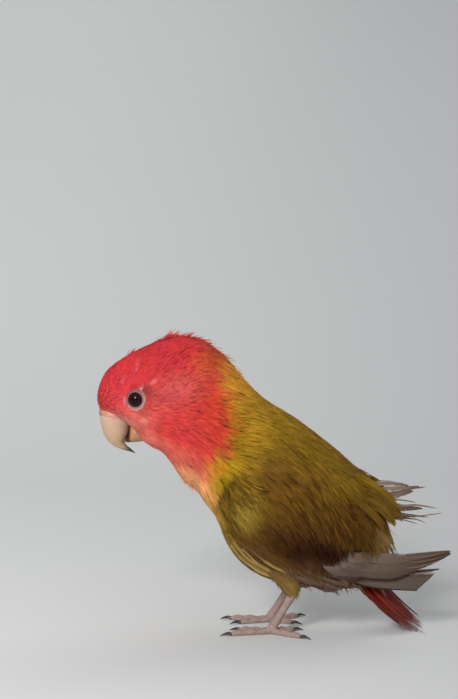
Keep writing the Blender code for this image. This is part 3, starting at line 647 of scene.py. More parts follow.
def thigh_points(side, s, turn, inset=0.0):
    rows = np.array(THIGH_RINGS)
    t, long, wide = np.moveaxis(spline(rows, s), -1, 0)
    x = KNEE[0] + (ANKLE[0] - KNEE[0]) * t + (long - inset) * np.cos(turn)
    y = -side * (LEG_SIDE - 0.6) + (wide - inset) * np.sin(turn)
    z = KNEE[1] + (ANKLE[1] - KNEE[1]) * t
    return np.stack([x, y, z], axis=-1) * MM


def thigh_bed(side, rows=40, turns=48):
    s = np.linspace(0, len(THIGH_RINGS) - 1, rows + 1)[:, None] * np.ones(turns + 1)
    turn = np.linspace(0, TAU, turns + 1)[None, :] * np.ones((rows + 1, 1))
    bed = Bed(thigh_points(side, s, turn), len(THIGH_RINGS) - 1)
    middle = bed.points[:, :-1].mean(axis=1, keepdims=True)
    if dot(bed.normals, bed.points - middle).mean() < 0:
        bed.normals = -bed.normals
    return bed


BODY = body_bed()


def eye_frame(side):
    """The eye's centre and the way it looks."""
    s = np.linspace(1.0, 6.0, 201)[:, None] * np.ones(201)
    turn = np.linspace(0.3, 2.8, 201)[None, :] * np.ones((201, 1))
    spot, normal, _, _ = BODY.at(s, turn if side > 0 else TAU - turn)
    away = (spot[..., 0] - EYE_AT[0] * MM) ** 2 + (spot[..., 2] - EYE_AT[1] * MM) ** 2
    i = np.unravel_index(away.argmin(), away.shape)
    look = Vector(normal[i])
    return Vector(spot[i]) - look * (EYE_RADIUS - EYE_PROUD) * MM, look


EYES = {side: eye_frame(side) for side in (LEFT, RIGHT)}


def make_skin():
    s = np.linspace(0.0, LAST, 145)[:, None] * np.ones(96)
    turn = (np.arange(96) / 96 * TAU)[None, :] * np.ones((145, 1))
    spot, normal, _, _ = BODY.at(s, turn)
    rings = spot - normal * (coat_value(5, s) * MM)[..., None]
    end = rings[-1]
    middle = end.mean(axis=0)
    tail_way = np.array([0.75, 0.0, -0.66])
    caps = [middle + (end - middle) * share + tail_way * out * MM
            for share, out in ((0.92, 2.0), (0.75, 4.0), (0.45, 5.6))]
    body = closed_grid("skin_body", np.concatenate([rings, np.array(caps)]))
    parts = [body]
    for side in (LEFT, RIGHT):
        s = np.linspace(0, len(THIGH_RINGS) - 1, 25)[:, None] * np.ones(32)
        turn = (np.arange(32) / 32 * TAU)[None, :] * np.ones((25, 1))
        parts.append(closed_grid(f"skin_thigh_{side}", thigh_points(side, s, turn, 0.9)))
    skin = remeshed("skin", parts, 0.8, 3)
    skin.data.materials.append(skin_material("skin_under_coat"))
    finish_piece(skin, "body_feathers", "head", "neck", "torso", "thigh_left", "thigh_right")


make_skin()


# The coat of small feathers


def tuft_strands(bed, s, turn, heading, length, width, strand, depth, lift, per_tuft, rings, seed,
                 hold=0.0, ridge=0.18):
    """Arrays for tufts of strands that fan from each root and lie along the bed.

    Sizes are per tuft, in metres. lift is how far the tips stand off the outline, and hold how
    much of the root's bulge a feather keeps where the bed falls away beneath it.
    """
    draw = np.random.default_rng(seed)
    many = len(s)
    root, normal, along, around = bed.at(s, turn)
    across = unit(np.cross(heading, normal))
    ahead_s, ahead_turn = rates(along, around, heading)
    side_s, side_turn = rates(along, around, across)
    rank = (np.arange(per_tuft) + 0.5) / per_tuft * 2 - 1
    rank = rank[None] + draw.uniform(-0.6, 0.6, (many, per_tuft)) / per_tuft
    shape = (many, per_tuft, 1)
    t = np.linspace(0, 1, rings)[None, None]
    start = draw.uniform(0.0, 0.35, shape)
    end = (1.0 - 0.30 * rank ** 2 + draw.uniform(-0.14, 0.10, (many, per_tuft)))[..., None]
    run = start + (end - start) * t
    wander = draw.normal(0, 0.03, shape) * t ** 2 + draw.normal(0, 0.012, shape) * np.sin(t * 5)
    spread = rank[..., None] * (0.10 + 0.40 * np.sin(np.minimum(run / 0.7, 1) * np.pi / 2))
    spread = spread * (1 - 0.3 * run ** 2)
    u = run * length[:, None, None]
    v = spread * width[:, None, None] + wander * length[:, None, None]
    rise = smooth_step(0.0, 0.55, run)
    height = -depth[:, None, None] * (1 - rise) + lift[:, None, None] * run ** 2
    height = height + draw.normal(0, 0.05, shape) * depth[:, None, None] * run
    height = height - 0.05 * rank[..., None] ** 2 * width[:, None, None] * rise
    place_s = s[:, None, None] + u * ahead_s[:, None, None] + v * side_s[:, None, None]
    place_turn = turn[:, None, None] + u * ahead_turn[:, None, None] + v * side_turn[:, None, None]
    spot, up, _, _ = bed.at(place_s, place_turn)
    if hold:
        own = wing_bulge(s, turn)[:, None, None] * (1 - (1 - hold) * run)
        height = height + np.maximum(own - wing_bulge(place_s, place_turn), 0) * MM
    centres = spot + up * height[..., None]
    taper = np.where(t < 0.5, 0.55 + 0.9 * t, 1.45 - 0.9 * t)
    size = strand[:, None, None] * taper * draw.uniform(0.75, 1.25, shape)
    shown, _, _, _ = bed.at(s + 0.6 * length * ahead_s, turn + 0.6 * length * ahead_turn)
    values = {
        "place": centres * 0.6 + shown[:, None, None, :] * 0.4,
        "along": run * np.ones(centres.shape[:3]),
        "tuft": draw.uniform(0, 1, (many, 1, 1)) * np.ones(centres.shape[:3]),
        "strand": draw.uniform(0, 1, shape) * np.ones(centres.shape[:3]),
    }
    spot_on_map = np.stack([np.mod(turn, TAU) / TAU, s / bed.last], -1)
    spot_on_map = np.repeat(spot_on_map[:, None], per_tuft, axis=1)
    flat = {key: value.reshape((many * per_tuft,) + value.shape[2:])
            for key, value in values.items()}
    return (centres.reshape(-1, rings, 3), up.reshape(-1, rings, 3),
            (size / 2).reshape(-1, rings), (size * ridge).reshape(-1, rings),
            spot_on_map.reshape(-1, 2), flat)


EYE_RIM = 3.95
RIM_LEAN = np.array([0.60, 0.0, -0.80]) * 0.22


def round_the_eyes(point, heading, normal, length):
    """Parts the lie round the eyes, and shortens what would reach over an eye's rim."""
    for centre, look in EYES.values():
        offset = point - np.array(centre)
        near = np.linalg.norm(offset, axis=-1) < 14 * MM
        offset = offset - np.array(look) * dot(offset, np.array(look))[:, None]
        room = np.linalg.norm(offset, axis=-1)
        outward = unit(offset)
        rim = EYE_RIM + dot(outward, RIM_LEAN)
        push = np.exp(-np.maximum(room / MM - rim, 0) / 2.5) * near
        heading = unit(heading + outward * (push * 0.8)[:, None])
        inward = np.clip(-dot(heading, outward), 0.0, 1.0)
        free = (room - rim * MM) / np.maximum(inward, 0.05) + 0.3 * MM
        length = np.where(near & (inward > 0), np.minimum(length, np.maximum(free, 0)), length)
        length = np.where(near & (room < rim * MM), 0.0, length)
    heading = heading - normal * dot(heading, normal)[:, None]
    return unit(heading), length


def lay_coat(name, slot, wanted, count, seed, per_tuft, rings, length=1.0, spacing=1.0, lift=0.2,
             hold=0.0, longest=99.0, strand=1.0, material=None, replaced=(), ridge=0.18):
    """A piece of the body's coat, over the wanted part of the dressed body."""
    s, turn = scatter(BODY, wanted, lambda s: coat_value(1, s) * spacing, count, seed)
    draw = np.random.default_rng(seed + 1)
    size = draw.uniform(0.85, 1.15, len(s))
    point, normal, _, _ = BODY.at(s, turn)
    long = np.minimum(coat_value(2, s) * length, longest) * MM * size
    heading, long = round_the_eyes(point, lie(point, normal), normal, long)
    keep = long > 0.35 * MM
    s, turn, heading, long, size = s[keep], turn[keep], heading[keep], long[keep], size[keep]
    wide = np.minimum(coat_value(3, s) * MM * size, long * 0.8)
    stand = lift * MM * draw.uniform(0.3, 1.7, len(s))
    strands = Strands()
    *shapes, values = tuft_strands(
        BODY, s, turn, heading, long, wide, coat_value(4, s) * MM * strand,
        coat_value(5, s) * MM, stand, per_tuft, rings, seed + 2, hold, ridge)
    strands.add(*shapes, **values)
    obj = strands.build(name)
    obj.data.materials.append(material or COAT)
    return finish_piece(obj, slot, *replaced)


# the number after contrast is how dark the roots are, grey down and painted shade together
COAT = coat_material("body_coat", 0.9, 0.76, 0.0)
HEAD_COAT = coat_material("head_coat", 0.6, 0.92, 0.04, 0.93)
WING_COAT = coat_material("wing_coat", 1.4, 0.72, 0.0)
DARK_STREAK = coat_material("dark_streaks", 0.8, 0.9, 0.0, 0.52)
PALE_STREAK = coat_material("pale_streaks", 0.8, 1.0, 0.0, 1.32)


def in_wing(s, turn, margin=0.0):
    across = wing_across(s, turn)
    return (s > WING_START + 0.4) & (s < WING_END + 0.3) & (across > margin) & (across < 1 - margin)


def left_side(turn):
    return np.mod(turn, TAU) < math.pi


def near_eye(point, reach):
    close = np.zeros(point.shape[:-1], bool)
    for centre, _ in EYES.values():
        close |= np.linalg.norm(point - np.array(centre), axis=-1) < reach * MM
    return close


def vane_line(x):
    """The height on the near wing that its coverts' tips reach down to, in millimetres."""
    return np.interp(x, [20.5, 22.0, 26.0, 32.0, 38.0, 46.0], [0.0, 27.0, 31.0, 34.6, 34.2, 33.4])


def bare_vane(point, side, margin):
    """Where the near wing's flight feathers show, and the strip above that reaches over them."""
    x, z = point[..., 0] / MM, point[..., 2] / MM
    return (side > 0) & (x < 44) & (z < vane_line(x) + margin * (x > 20.5))


lay_coat("coat_face", "head_feathers", lambda s, turn, p: s < 4.0, 60000, 11, 9, 3, lift=0.08,
         ridge=0.10, strand=0.95, material=HEAD_COAT)
lay_coat("coat_eye_surrounds", "head_feathers", lambda s, turn, p: near_eye(p, 8.0), 200000, 15,
         6, 3, spacing=0.55, longest=1.5, lift=0.05, strand=0.8, material=HEAD_COAT)
lay_coat("coat_bill_root", "head_feathers", lambda s, turn, p: s < 0.9, 60000, 17, 6, 3,
         spacing=0.7, longest=1.3, lift=0.1, strand=0.8, material=HEAD_COAT)
lay_coat("coat_crown", "head_feathers", lambda s, turn, p: (s >= 4.0) & (s < 8.0), 60000, 21,
         9, 3, lift=0.12, ridge=0.10, strand=0.95, material=HEAD_COAT)
lay_coat("coat_neck", "neck_feathers", lambda s, turn, p: (s >= 8.0) & (s < 11.0), 40000, 31,
         8, 4, lift=0.4)
for side, word in ((LEFT, "left"), (RIGHT, "right")):
    lay_coat(f"coat_body_{word}", "body_feathers",
             lambda s, turn, p: (s >= 11.0) & ~in_wing(s, turn, 0.12) & (left_side(turn) == (side > 0)),
             70000, 41 + side, 7, 4, lift=0.3, strand=1.1)
    lay_coat(f"coat_wing_{word}", "wing_feathers",
             lambda s, turn, p: in_wing(s, turn) & (left_side(turn) == (side > 0))
             & ~bare_vane(p, side, 9.5) & ~((side > 0) & (p[:, 0] > 15 * MM) & (p[:, 2] < 30 * MM)),
             60000, 51 + side, 8, 4, spacing=0.92, lift=0.5, hold=0.85, material=WING_COAT,
             replaced=(f"wing_{word}",))


lay_coat("pale_head_streaks", "head_feathers", lambda s, turn, p: s < 8.5, 20000, 57, 2, 4,
         length=0.8, spacing=2.4, lift=0.35, strand=0.8,
         material=coat_material("pale_head_streaks", 0.6, 1.0, 0.06, 1.22))


def streak_places(point, pale):
    """Where fine dark shafts show on wing and shoulder, or pale ones on the back."""
    x, z = point[:, 0] / MM, point[:, 2] / MM
    shoulder = (x < 2) & (z > 34) & (z < 62)
    if pale:
        return shoulder | (x > 0) & (x < 34) & (z > 26) & (z < 44) | (x > -14) & (x < 34) & (z > 92 - 0.85 * (x + 14)) & (z < 104)
    rear = (x > 16) & (z > 32) & (z < 72)
    return shoulder | rear | ((x > 0) & (x < 28) & (z > 28) & (z < 46))


for side, word in ((LEFT, "left"), (RIGHT, "right")):
    for pale, tone, gap in ((False, DARK_STREAK, 2.0), (True, PALE_STREAK, 2.2)):
        name = f"{'pale' if pale else 'dark'}_streaks_{word}"
        lay_coat(name, "wing_feathers", lambda s, turn, p: (s > 10) & streak_places(p, pale)
                 & (left_side(turn) == (side > 0)) & ~bare_vane(p, side, 9.0),
                 20000, 55 + side + 2 * pale, 2, 5, length=0.9,
                 spacing=gap, lift=0.75, hold=0.85, strand=0.55, material=tone)


def lay_thigh_coat(side, word):
    """Short feathers down the shank, and a ragged layer of longer ones over them."""
    bed = thigh_bed(side)
    strands = Strands()
    draw = np.random.default_rng(60 + side)
    for low, gap, longer, depth, lift, count, seed in (
            (0.4, 1.0, 1.0, 0.9, 0.2, 5, 61), (1.0, 1.8, 1.7, 0.3, 0.9, 7, 65)):
        s, turn = scatter(bed, lambda s, turn, p: s > low, lambda s: gap + 0 * s, 20000, seed + side)
        point, normal, along, _ = bed.at(s, turn)
        down = unit(along) * np.where(along[:, 2] > 0, -1, 1)[:, None]
        heading = unit(down + np.array([0.35, 0, 0]))
        heading = unit(heading - normal * dot(heading, normal)[:, None])
        long = np.interp(s, [0, 3, 5, 6], [6.5, 5.5, 3.4, 2.0]) * draw.uniform(0.6, 1.35, len(s))
        wide = np.interp(s, [0, 4, 6], [2.4, 1.6, 0.9]) * MM
        *shapes, values = tuft_strands(
            bed, s, turn, heading, long * longer * MM, wide, np.full(len(s), 0.22 * MM),
            np.full(len(s), depth * MM), lift * MM * draw.uniform(0.2, 1.6, len(s)), count, 4,
            seed + 2 + side)
        strands.add(*shapes, **values)
    obj = strands.build(f"coat_thigh_{word}")
    obj.data.materials.append(COAT)
    finish_piece(obj, "leg_feathers")


for side, word in ((LEFT, "left"), (RIGHT, "right")):
    lay_thigh_coat(side, word)


def add_loose(strands, roots, ways, lengths, widths, bend, rings=6, place=None, seed=0):
    """Single fine strands from roots along ways, drooping or rising by bend; sizes in millimetres."""
    draw = np.random.default_rng(seed)
    many = len(roots)
    t = np.linspace(0, 1, rings)[None, :, None]
    ways = unit(np.asarray(ways, float))
    bend = np.asarray(bend, float) * np.ones((many, 3))
    lengths = np.asarray(lengths, float)[:, None, None] * MM
    centres = np.asarray(roots)[:, None] * MM + ways[:, None] * lengths * t
    centres = centres + bend[:, None] * lengths * t ** 2
    up = unit(np.cross(ways, draw.normal(0, 1, (many, 3))))[:, None] * np.ones((1, rings, 1))
    half = np.asarray(widths, float)[:, None] * MM / 2 * np.interp(t[..., 0], [0, 0.5, 1], [0.8, 1, 0.5])
    where = np.asarray(roots if place is None else place, float) * MM
    bake = np.stack([0.1 + 0.8 * draw.uniform(0, 1, many), 0.1 + 0.8 * draw.uniform(0, 1, many)], -1)
    strands.add(centres, up, half, half * 0.5, bake,
                place=np.broadcast_to(where[:, None], centres.shape),
                along=0.5 + 0.5 * t[..., 0] * np.ones((many, 1)),
                tuft=draw.uniform(0, 1, (many, 1)), strand=draw.uniform(0, 1, (many, 1)))


def way(degrees, side=0.0):
    """The way straight back, turned down by degrees, leaning to either side."""
    angle = np.radians(degrees)
    side = side * np.ones_like(angle)
    return np.stack([np.cos(angle), side, -np.sin(angle)], axis=-1)


# Ruffled feathers on crown, nape and throat: s range, turn spread, degrees, length, count,
# and the turn of their middle, if not the ridge
RUFFLES = [
    (5.0, 5.7, 0.16, -38, 3.2, 60),
    (5.5, 6.3, 0.14, -54, 5.2, 80),
    (5.8, 6.9, 0.30, -36, 4.4, 110),
    (6.8, 7.8, 0.35, -12, 3.8, 120),
    (7.6, 8.8, 0.40, 14, 4.0, 120),
    (8.6, 10.2, 0.40, 32, 4.6, 110),
    (4.0, 4.4, 0.05, -66, 4.6, 12),
    (6.6, 8.6, 0.25, 68, 3.8, 60, math.pi),
    (8.6, 10.6, 0.25, 62, 3.6, 50, math.pi),
]


def make_ruffles():
    draw = np.random.default_rng(81)
    strands = Strands()
    for low, high, spread, degrees, length, count, *about in RUFFLES:
        clumps = max(count // 5, 1)
        middle = draw.uniform(low, high, clumps)
        centre = draw.normal(about[0] if about else 0.0, spread, clumps)
        lean = draw.normal(0, 9, clumps)
        which = draw.integers(0, clumps, count)
        s = middle[which] + draw.normal(0, 0.10, count)
        turn = centre[which] + draw.normal(0, 0.03, count)
        point, normal, _, _ = BODY.at(s, turn)
        roots = (point - normal * 0.6 * MM) / MM
        ways = way(degrees + lean[which] + draw.normal(0, 5, count), draw.normal(0, 0.12, count))
        add_loose(strands, roots, ways, length * draw.uniform(0.6, 1.2, count),
                  draw.uniform(0.16, 0.26, count), (0.10, 0, -0.06), seed=83)
    obj = strands.build("ruffled_crown")
    obj.data.materials.append(HEAD_COAT)
    finish_piece(obj, "head_feathers")


make_ruffles()


# Flight and tail feathers


class Quill:
    """A feather's shaft: a smooth line with the ways up and across at every place on it."""

    def __init__(self, points, up, steps=60):
        self.t = np.linspace(0, 1, steps)
        self.line = spline(np.array(points, float), self.t * (len(points) - 1)) * MM
        self.length = np.linalg.norm(np.diff(self.line, axis=0), axis=1).sum()
        ahead = unit(np.gradient(self.line, axis=0))
        rise = spline(np.array(up, float), self.t * (len(up) - 1))
        self.up = unit(rise - ahead * dot(rise, ahead)[:, None])
        self.across = np.cross(ahead, self.up)
        self.ahead = ahead

    def at(self, t, across, height):
        """Points at t along the shaft, moved across and up from it."""
        inside = np.clip(t, 0, 1)

        def pick(table):
            return np.stack([np.interp(inside, self.t, table[:, i]) for i in range(3)], axis=-1)

        past = ((t - inside) * self.length)[..., None]
        up = pick(self.up)
        spot = pick(self.line) + pick(self.ahead) * past
        return spot + pick(self.across) * across[..., None] + up * height[..., None], up


def vane_outline(t, tip=0.7, blunt=2.0, base=0.45):
    """A vane's half width at t along the shaft, as a share of its greatest."""
    body = base + (1 - base) * np.sin(np.clip(t / 0.6, 0, 1) * np.pi / 2)
    end = np.clip(1 - (np.maximum(t - tip, 0) / (1.03 - tip)) ** blunt, 0, 1) ** (1 / blunt)
    return body * end


def add_feather(strands, quill, widths, barbs, seed, wear=0.15, splits=0.25, camber=0.12,
                start=0.06, lean=1.2, tip=0.7, blunt=2.0, rim=0.0, shaft=0.4, cell=(0.0, 0.0),
                shade=None, broad=0.45, cut=0.0, drape=None):
    """A flight feather: a tapered shaft with barbs along both sides, in millimetres.

    widths are the vane's greatest on the lower and the upper side of across. splits is the share
    of barbs that draw together into points, wear how much of their length frays, lean how far
    they lie forward for each step outward, rim how dark the leading edge is, cut how far the
    vane's end slants with them, drape what lays its points over a body, and cell the
    feather's corner on the bake map.
    """
    draw = np.random.default_rng(seed)
    rings = 4
    shade = draw.uniform(0, 1) if shade is None else shade
    for side, width in ((-1, widths[0]), (1, widths[1])):
        width = width * MM
        base = start + (0.985 - start) * (np.arange(barbs) + 0.5) / barbs
        reach, top = np.zeros(barbs), np.ones(barbs)
        for _ in range(12):
            half = (reach + top) / 2
            end = base + (1 - cut) * half * width * lean / quill.length
            fits = vane_outline(end, tip, blunt, broad) >= half
            reach, top = np.where(fits, half, reach), np.where(fits, top, half)
        worn = 1 - wear * draw.uniform(0, 1, barbs) ** 2 * (0.2 + 1.3 * base)
        reach = reach * width * np.clip(worn, 0.2, 1)
        clump = np.floor(np.cumsum(draw.uniform(0.04, 0.30, barbs))).astype(int)
        middle = np.array([base[clump == c].mean() for c in clump])
        drawn = (draw.uniform(0, 1, clump.max() + 1) < splits * 2.0)[clump]
        drawn = drawn * draw.uniform(0.5, 1.0, clump.max() + 1)[clump]
        r = np.linspace(0, 1, rings)[None]
        end = base + reach * lean / quill.length + (middle - base) * drawn
        t = base[:, None] + (end - base)[:, None] * r ** (1.3 - 0.3 * cut)
        across = side * reach[:, None] * r ** (0.85 + 0.15 * cut)
        share = np.abs(across) / max(width, 1e-9)
        height = -camber * width * share ** 2 + draw.normal(0, 0.015, (barbs, 1)) * MM * r
        centres, up = quill.at(t, across, height)
        centres = drape(centres) if drape else centres
        pitch = quill.length * (0.985 - start) / barbs
        taper = np.interp(r, [0, 0.3, 0.8, 1], [0.8, 1.0, 0.85, 0.6])
        half = pitch * 0.8 * taper * (1 - 0.5 * drawn[:, None] * r)
        thick = np.full_like(half, 0.07 * MM)
        spot = np.stack([cell[0] + 0.2 * t, cell[1] + 0.012 * side * share + 0.02], axis=-1)
        strands.add(centres, up, half, thick, spot, along=t, across=side * share + 0 * t,
                    tuft=np.full((barbs, 1), shade), strand=draw.uniform(0, 1, (barbs, 1)),
                    rim=np.full((barbs, 1), rim))
    t = np.linspace(0, 0.99, 14)[None]
    centres, up = quill.at(t, 0 * t, np.full_like(t, 0.03 * MM))
    centres = drape(centres) if drape else centres
    half = (shaft * (1 - t * t) + 0.06) * MM
    spot = np.stack([cell[0] + 0.2 * t, np.full_like(t, cell[1] + 0.02)], axis=-1)
    strands.add(centres, up, half, half * 1.1, spot, along=t, across=np.full_like(t, 9.0),
                tuft=np.full((1, 1), shade), strand=np.full((1, 1), 0.5), rim=np.full((1, 1), rim))


def add_lock(strands, quill, width, count, seed, close=0.12, strand=0.26, rings=9, late=0.35,
             short=0.35, flat=0.35, shift=None):
    """A worn feather as a lock: fine strands that spread at its root and draw to a point.

    Sizes are in millimetres. late is how far along the last strand starts, short how much of
    their ends they may lack, flat the lock's thickness as a share of its width, and shift what
    to add to a strand's place to find its colour.
    """
    draw = np.random.default_rng(seed)
    start = draw.uniform(0, late, (count, 1)) * (draw.uniform(0, 1, (count, 1)) > 0.3)
    end = 1.0 - short * draw.uniform(0, 1, (count, 1)) ** 1.5
    t = start + (end - start) * np.linspace(0, 1, rings)[None]
    rank = draw.uniform(-1, 1, (count, 1))
    spread = close + (1 - close) * np.clip(1 - t, 0, 1) ** 0.8
    wave = 0.05 * np.sin(t * draw.uniform(3, 8, (count, 1)) + draw.uniform(0, 6, (count, 1)))
    across = (rank * spread + wave) * width * MM
    height = draw.normal(0, flat, (count, 1)) * spread * width * MM
    centres, up = quill.at(t, across, height)
    taper = np.interp((t - start) / (end - start), [0, 0.5, 0.85, 1], [0.8, 1.0, 0.8, 0.5])
    half = strand / 2 * MM * taper * draw.uniform(0.7, 1.3, (count, 1))
    bake = np.stack([0.1 + 0.8 * t, 0.1 + 0.8 * (0.5 + 0.5 * rank) + 0 * t], axis=-1)
    values = {"along": t, "across": rank + 0 * t, "strand": draw.uniform(0, 1, (count, 1)),
              "tuft": np.full((count, 1), draw.uniform(0, 1)), "rim": np.zeros((count, 1))}
    if shift is not None:
        middle = centres[:, rings // 2] + np.array(shift) * MM
        values["place"] = np.broadcast_to(middle[:, None], centres.shape)
        values["along"] = 0.4 + 0.6 * t
    strands.add(centres, up, half, half * 0.6, bake, **values)


def on_side(x, z, side, out=0.0):
    """The place on the dressed body's side that is seen at x and z, in millimetres."""
    ring = BODY.points[:, :-1] / MM
    away = (ring[..., 0] - x) ** 2 + (ring[..., 2] - z) ** 2
    away = away + 1e6 * (ring[..., 1] * side > 0)
    i = np.unravel_index(away.argmin(), away.shape)
    spot = ring[i] + BODY.normals[i] * out
    return (x, spot[1], z)


def vane_material(name, base, pale, dark, shaft, edge_side=1.0, dark_from=0.5, dark_to=0.95,
                  stem=None):
    """A smooth feather vane: barbs that vary, a darker end and leading edge, and its own shaft."""
    material, tree, shader = new_material(name, Roughness=0.5, Specular_IOR_Level=0.25)
    along, across = attribute(tree, "along"), attribute(tree, "across")
    strand, tuft = attribute(tree, "strand"), attribute(tree, "tuft")
    place = add_node(tree, "NewGeometry").outputs["Position"]
    cloud = add_node(tree, "TexNoise", None, Vector=place, Scale=180.0, Detail=2.0)
    streak = maths(tree, "MULTIPLY_ADD", maths(tree, "ADD", strand, cloud.outputs[0]), 0.5, 0.0)
    shown = mix_colour(tree, streak, colour(*base), colour(*pale))
    late = remap(tree, maths(tree, "MULTIPLY_ADD", streak, 0.3, along), dark_from, dark_to + 0.15)
    shown = mix_colour(tree, late, shown, colour(*dark))
    signed = maths(tree, "MULTIPLY", across, edge_side)
    edge = maths(tree, "MULTIPLY_ADD", attribute(tree, "rim"), 0.5, signed)
    rim = maths(tree, "MULTIPLY", remap(tree, edge, 0.45, 0.9), attribute(tree, "rim"))
    vane = maths(tree, "LESS_THAN", signed, 5.0)
    shown = mix_colour(tree, maths(tree, "MULTIPLY", rim, vane), shown, colour(*shaft))
    stem = mix_colour(tree, attribute(tree, "rim"), colour(*(stem or shaft)), colour(*shaft))
    shown = mix_colour(tree, maths(tree, "GREATER_THAN", across, 5.0), shown, stem)
    value = maths(tree, "MULTIPLY_ADD", tuft, 0.36, 0.82)
    toned = add_node(tree, "HueSaturation", None, Value=value, Color=shown)
    tree.links.new(toned.outputs[0], shader.inputs["Base Color"])
    return material


# The near wing's primaries: x and z along the shaft from under the coat to the tip, the tip's y,
# lower and upper vane, dark edge, where the end starts, how blunt it is, shade, lean, cut
NEAR_PRIMARIES = [
    ([(8, 29.6), (18, 26.3), (29, 21.4), (41.4, 18.9), (57.6, 18.3)], -12.8, 0.3, 7.6, 1.0, 0.97, 3.0, 0.0, 1.06, 1),
    ([(12, 31.0), (22, 29.0), (33, 26.0), (47, 25.0), (66.2, 26.9)], -13.1, 1.6, 1.6, 0.2, 0.60, 1.2, -0.9, 1.5, 0),
    ([(14, 33.0), (24, 31.2), (36, 29.6), (50, 29.3), (70.4, 33.8)], -13.4, 6.4, 4.4, 0.3, 0.72, 1.1, 0.5, 1.5, 0),
]
# and the wisps at their ends: x and z along them, width, count of strands
NEAR_WISPS = [
    ([(52, 31.2), (61, 32.2), (71.0, 34.6)], 0.7, 9), ([(54, 29.8), (62, 30.8), (68.6, 32.8)], 0.6, 7),
    ([(53, 27.8), (59, 28.6), (65.6, 31.0)], 0.5, 6), ([(54, 25.2), (60, 25.8), (66.6, 27.6)], 0.4, 8),
]
# The far wing's worn primaries: x and z along them, their vanes, shade, where the end starts
FAR_PRIMARIES = [
    ([(30, 55.0), (40, 57.6), (48, 58.0), (56.0, 57.0)], 1.2, 1.7, 0.9, 0.5),
    ([(30, 53.0), (42, 55.0), (50, 56.0), (60.5, 56.6)], 2.4, 1.4, 1.0, 0.4),
    ([(30, 50.6), (44, 51.6), (51, 52.8), (58.0, 54.8)], 2.0, 2.4, 0.4, 0.4),
    ([(31, 47.6), (44, 48.6), (54, 48.0), (62.0, 47.2)], 1.7, 1.6, -0.5, 0.4),
    ([(31, 44.6), (46, 44.9), (55, 44.3), (62.0, 43.8)], 1.5, 1.3, -1.0, 0.4),
]
# and its wisps: the same, with a width and a count of strands
FAR_WISPS = [
    ([(40, 54.0), (50, 53.6), (56.3, 55.6), (63.4, 56.4)], 0.9, 30), ([(40, 57.0), (47, 58.4), (55.4, 56.8)], 0.8, 24),
    ([(40, 52.0), (50, 53.0), (58, 56.0)], 1.3, 26), ([(42, 50.6), (52, 51.0), (59.4, 49.8)], 0.5, 20),
    ([(42, 48.6), (52.6, 48.3), (60, 48.7), (68.0, 47.2)], 0.7, 34), ([(44, 47.0), (54, 46.6), (61.5, 47.0)], 0.9, 26),
    ([(44, 44.8), (55, 44.4), (65.0, 43.4)], 0.7, 30), ([(46, 44.4), (58, 43.8), (70.5, 45.2)], 0.4, 12),
    ([(44, 42.6), (53, 42.4), (60.4, 40.4)], 0.45, 16), ([(48, 43.0), (59, 42.6), (63.6, 40.8)], 0.4, 12),
]


def near_shaft(points, tip_y, k):
    line = [on_side(*points[0], LEFT, -1.8), on_side(*points[1], LEFT, -0.5)]
    for n, (x, z) in enumerate(points[2:-1]):
        side_y = on_side(x, z, LEFT, (0.2 if n == 0 else 0.8) + 0.06 * k)[1]
        share = smooth_step(34, 52, x)
        line.append((x, side_y * (1 - share) + (tip_y - 0.3) * share, z))
    return line + [(points[-1][0], tip_y + 0.04 * k, points[-1][1])]


def far_shaft(points):
    """The far wing's inner face: under the body's side at the root, then its own plane."""
    line = []
    for x, z in points:
        deep = np.interp(z, [40, 44, 50, 56, 62], [17.4, 16.8, 15.6, 13.8, 11.0]) - 2.4
        edge = np.interp(z, [40, 45, 50, 56, 60], [11.6, 10.0, 8.0, 4.9, 3.4])
        end = np.interp(z, [42, 46, 48.5, 56], [10.2, 9.2, 8.2, 7.0])
        y = deep + (edge + 1.8 * (1 - smooth_step(46, 56, x)) - deep) * smooth_step(30, 45, x)
        line.append((x, y + (end - y) * smooth_step(46, 60, x), z))
    return line


def over_near_side():
    """A function that lays points out past the near side, and in under the coverts' tips."""
    ring = BODY.points[:, :-1].reshape(-1, 3)
    ring = ring[ring[:, 1] < 0]
    tree = KDTree(len(ring))
    for i, (x, _, z) in enumerate(ring):
        tree.insert((x, 0, z), i)
    tree.balance()

    def laid(points):
        flat = points.reshape(-1, 3).copy()
        below = vane_line(flat[:, 0] / MM) - flat[:, 2] / MM
        gap = np.interp(below, [-1.0, 2.5, 5.0], [-0.9, 0.6, 2.0]) * MM
        for point, out in zip(flat, gap):
            _, i, away = tree.find((point[0], 0, point[2]))
            if away < 0.8 * MM:
                point[1] = min(point[1], ring[i][1] - out)
        return flat.reshape(points.shape)
    return laid


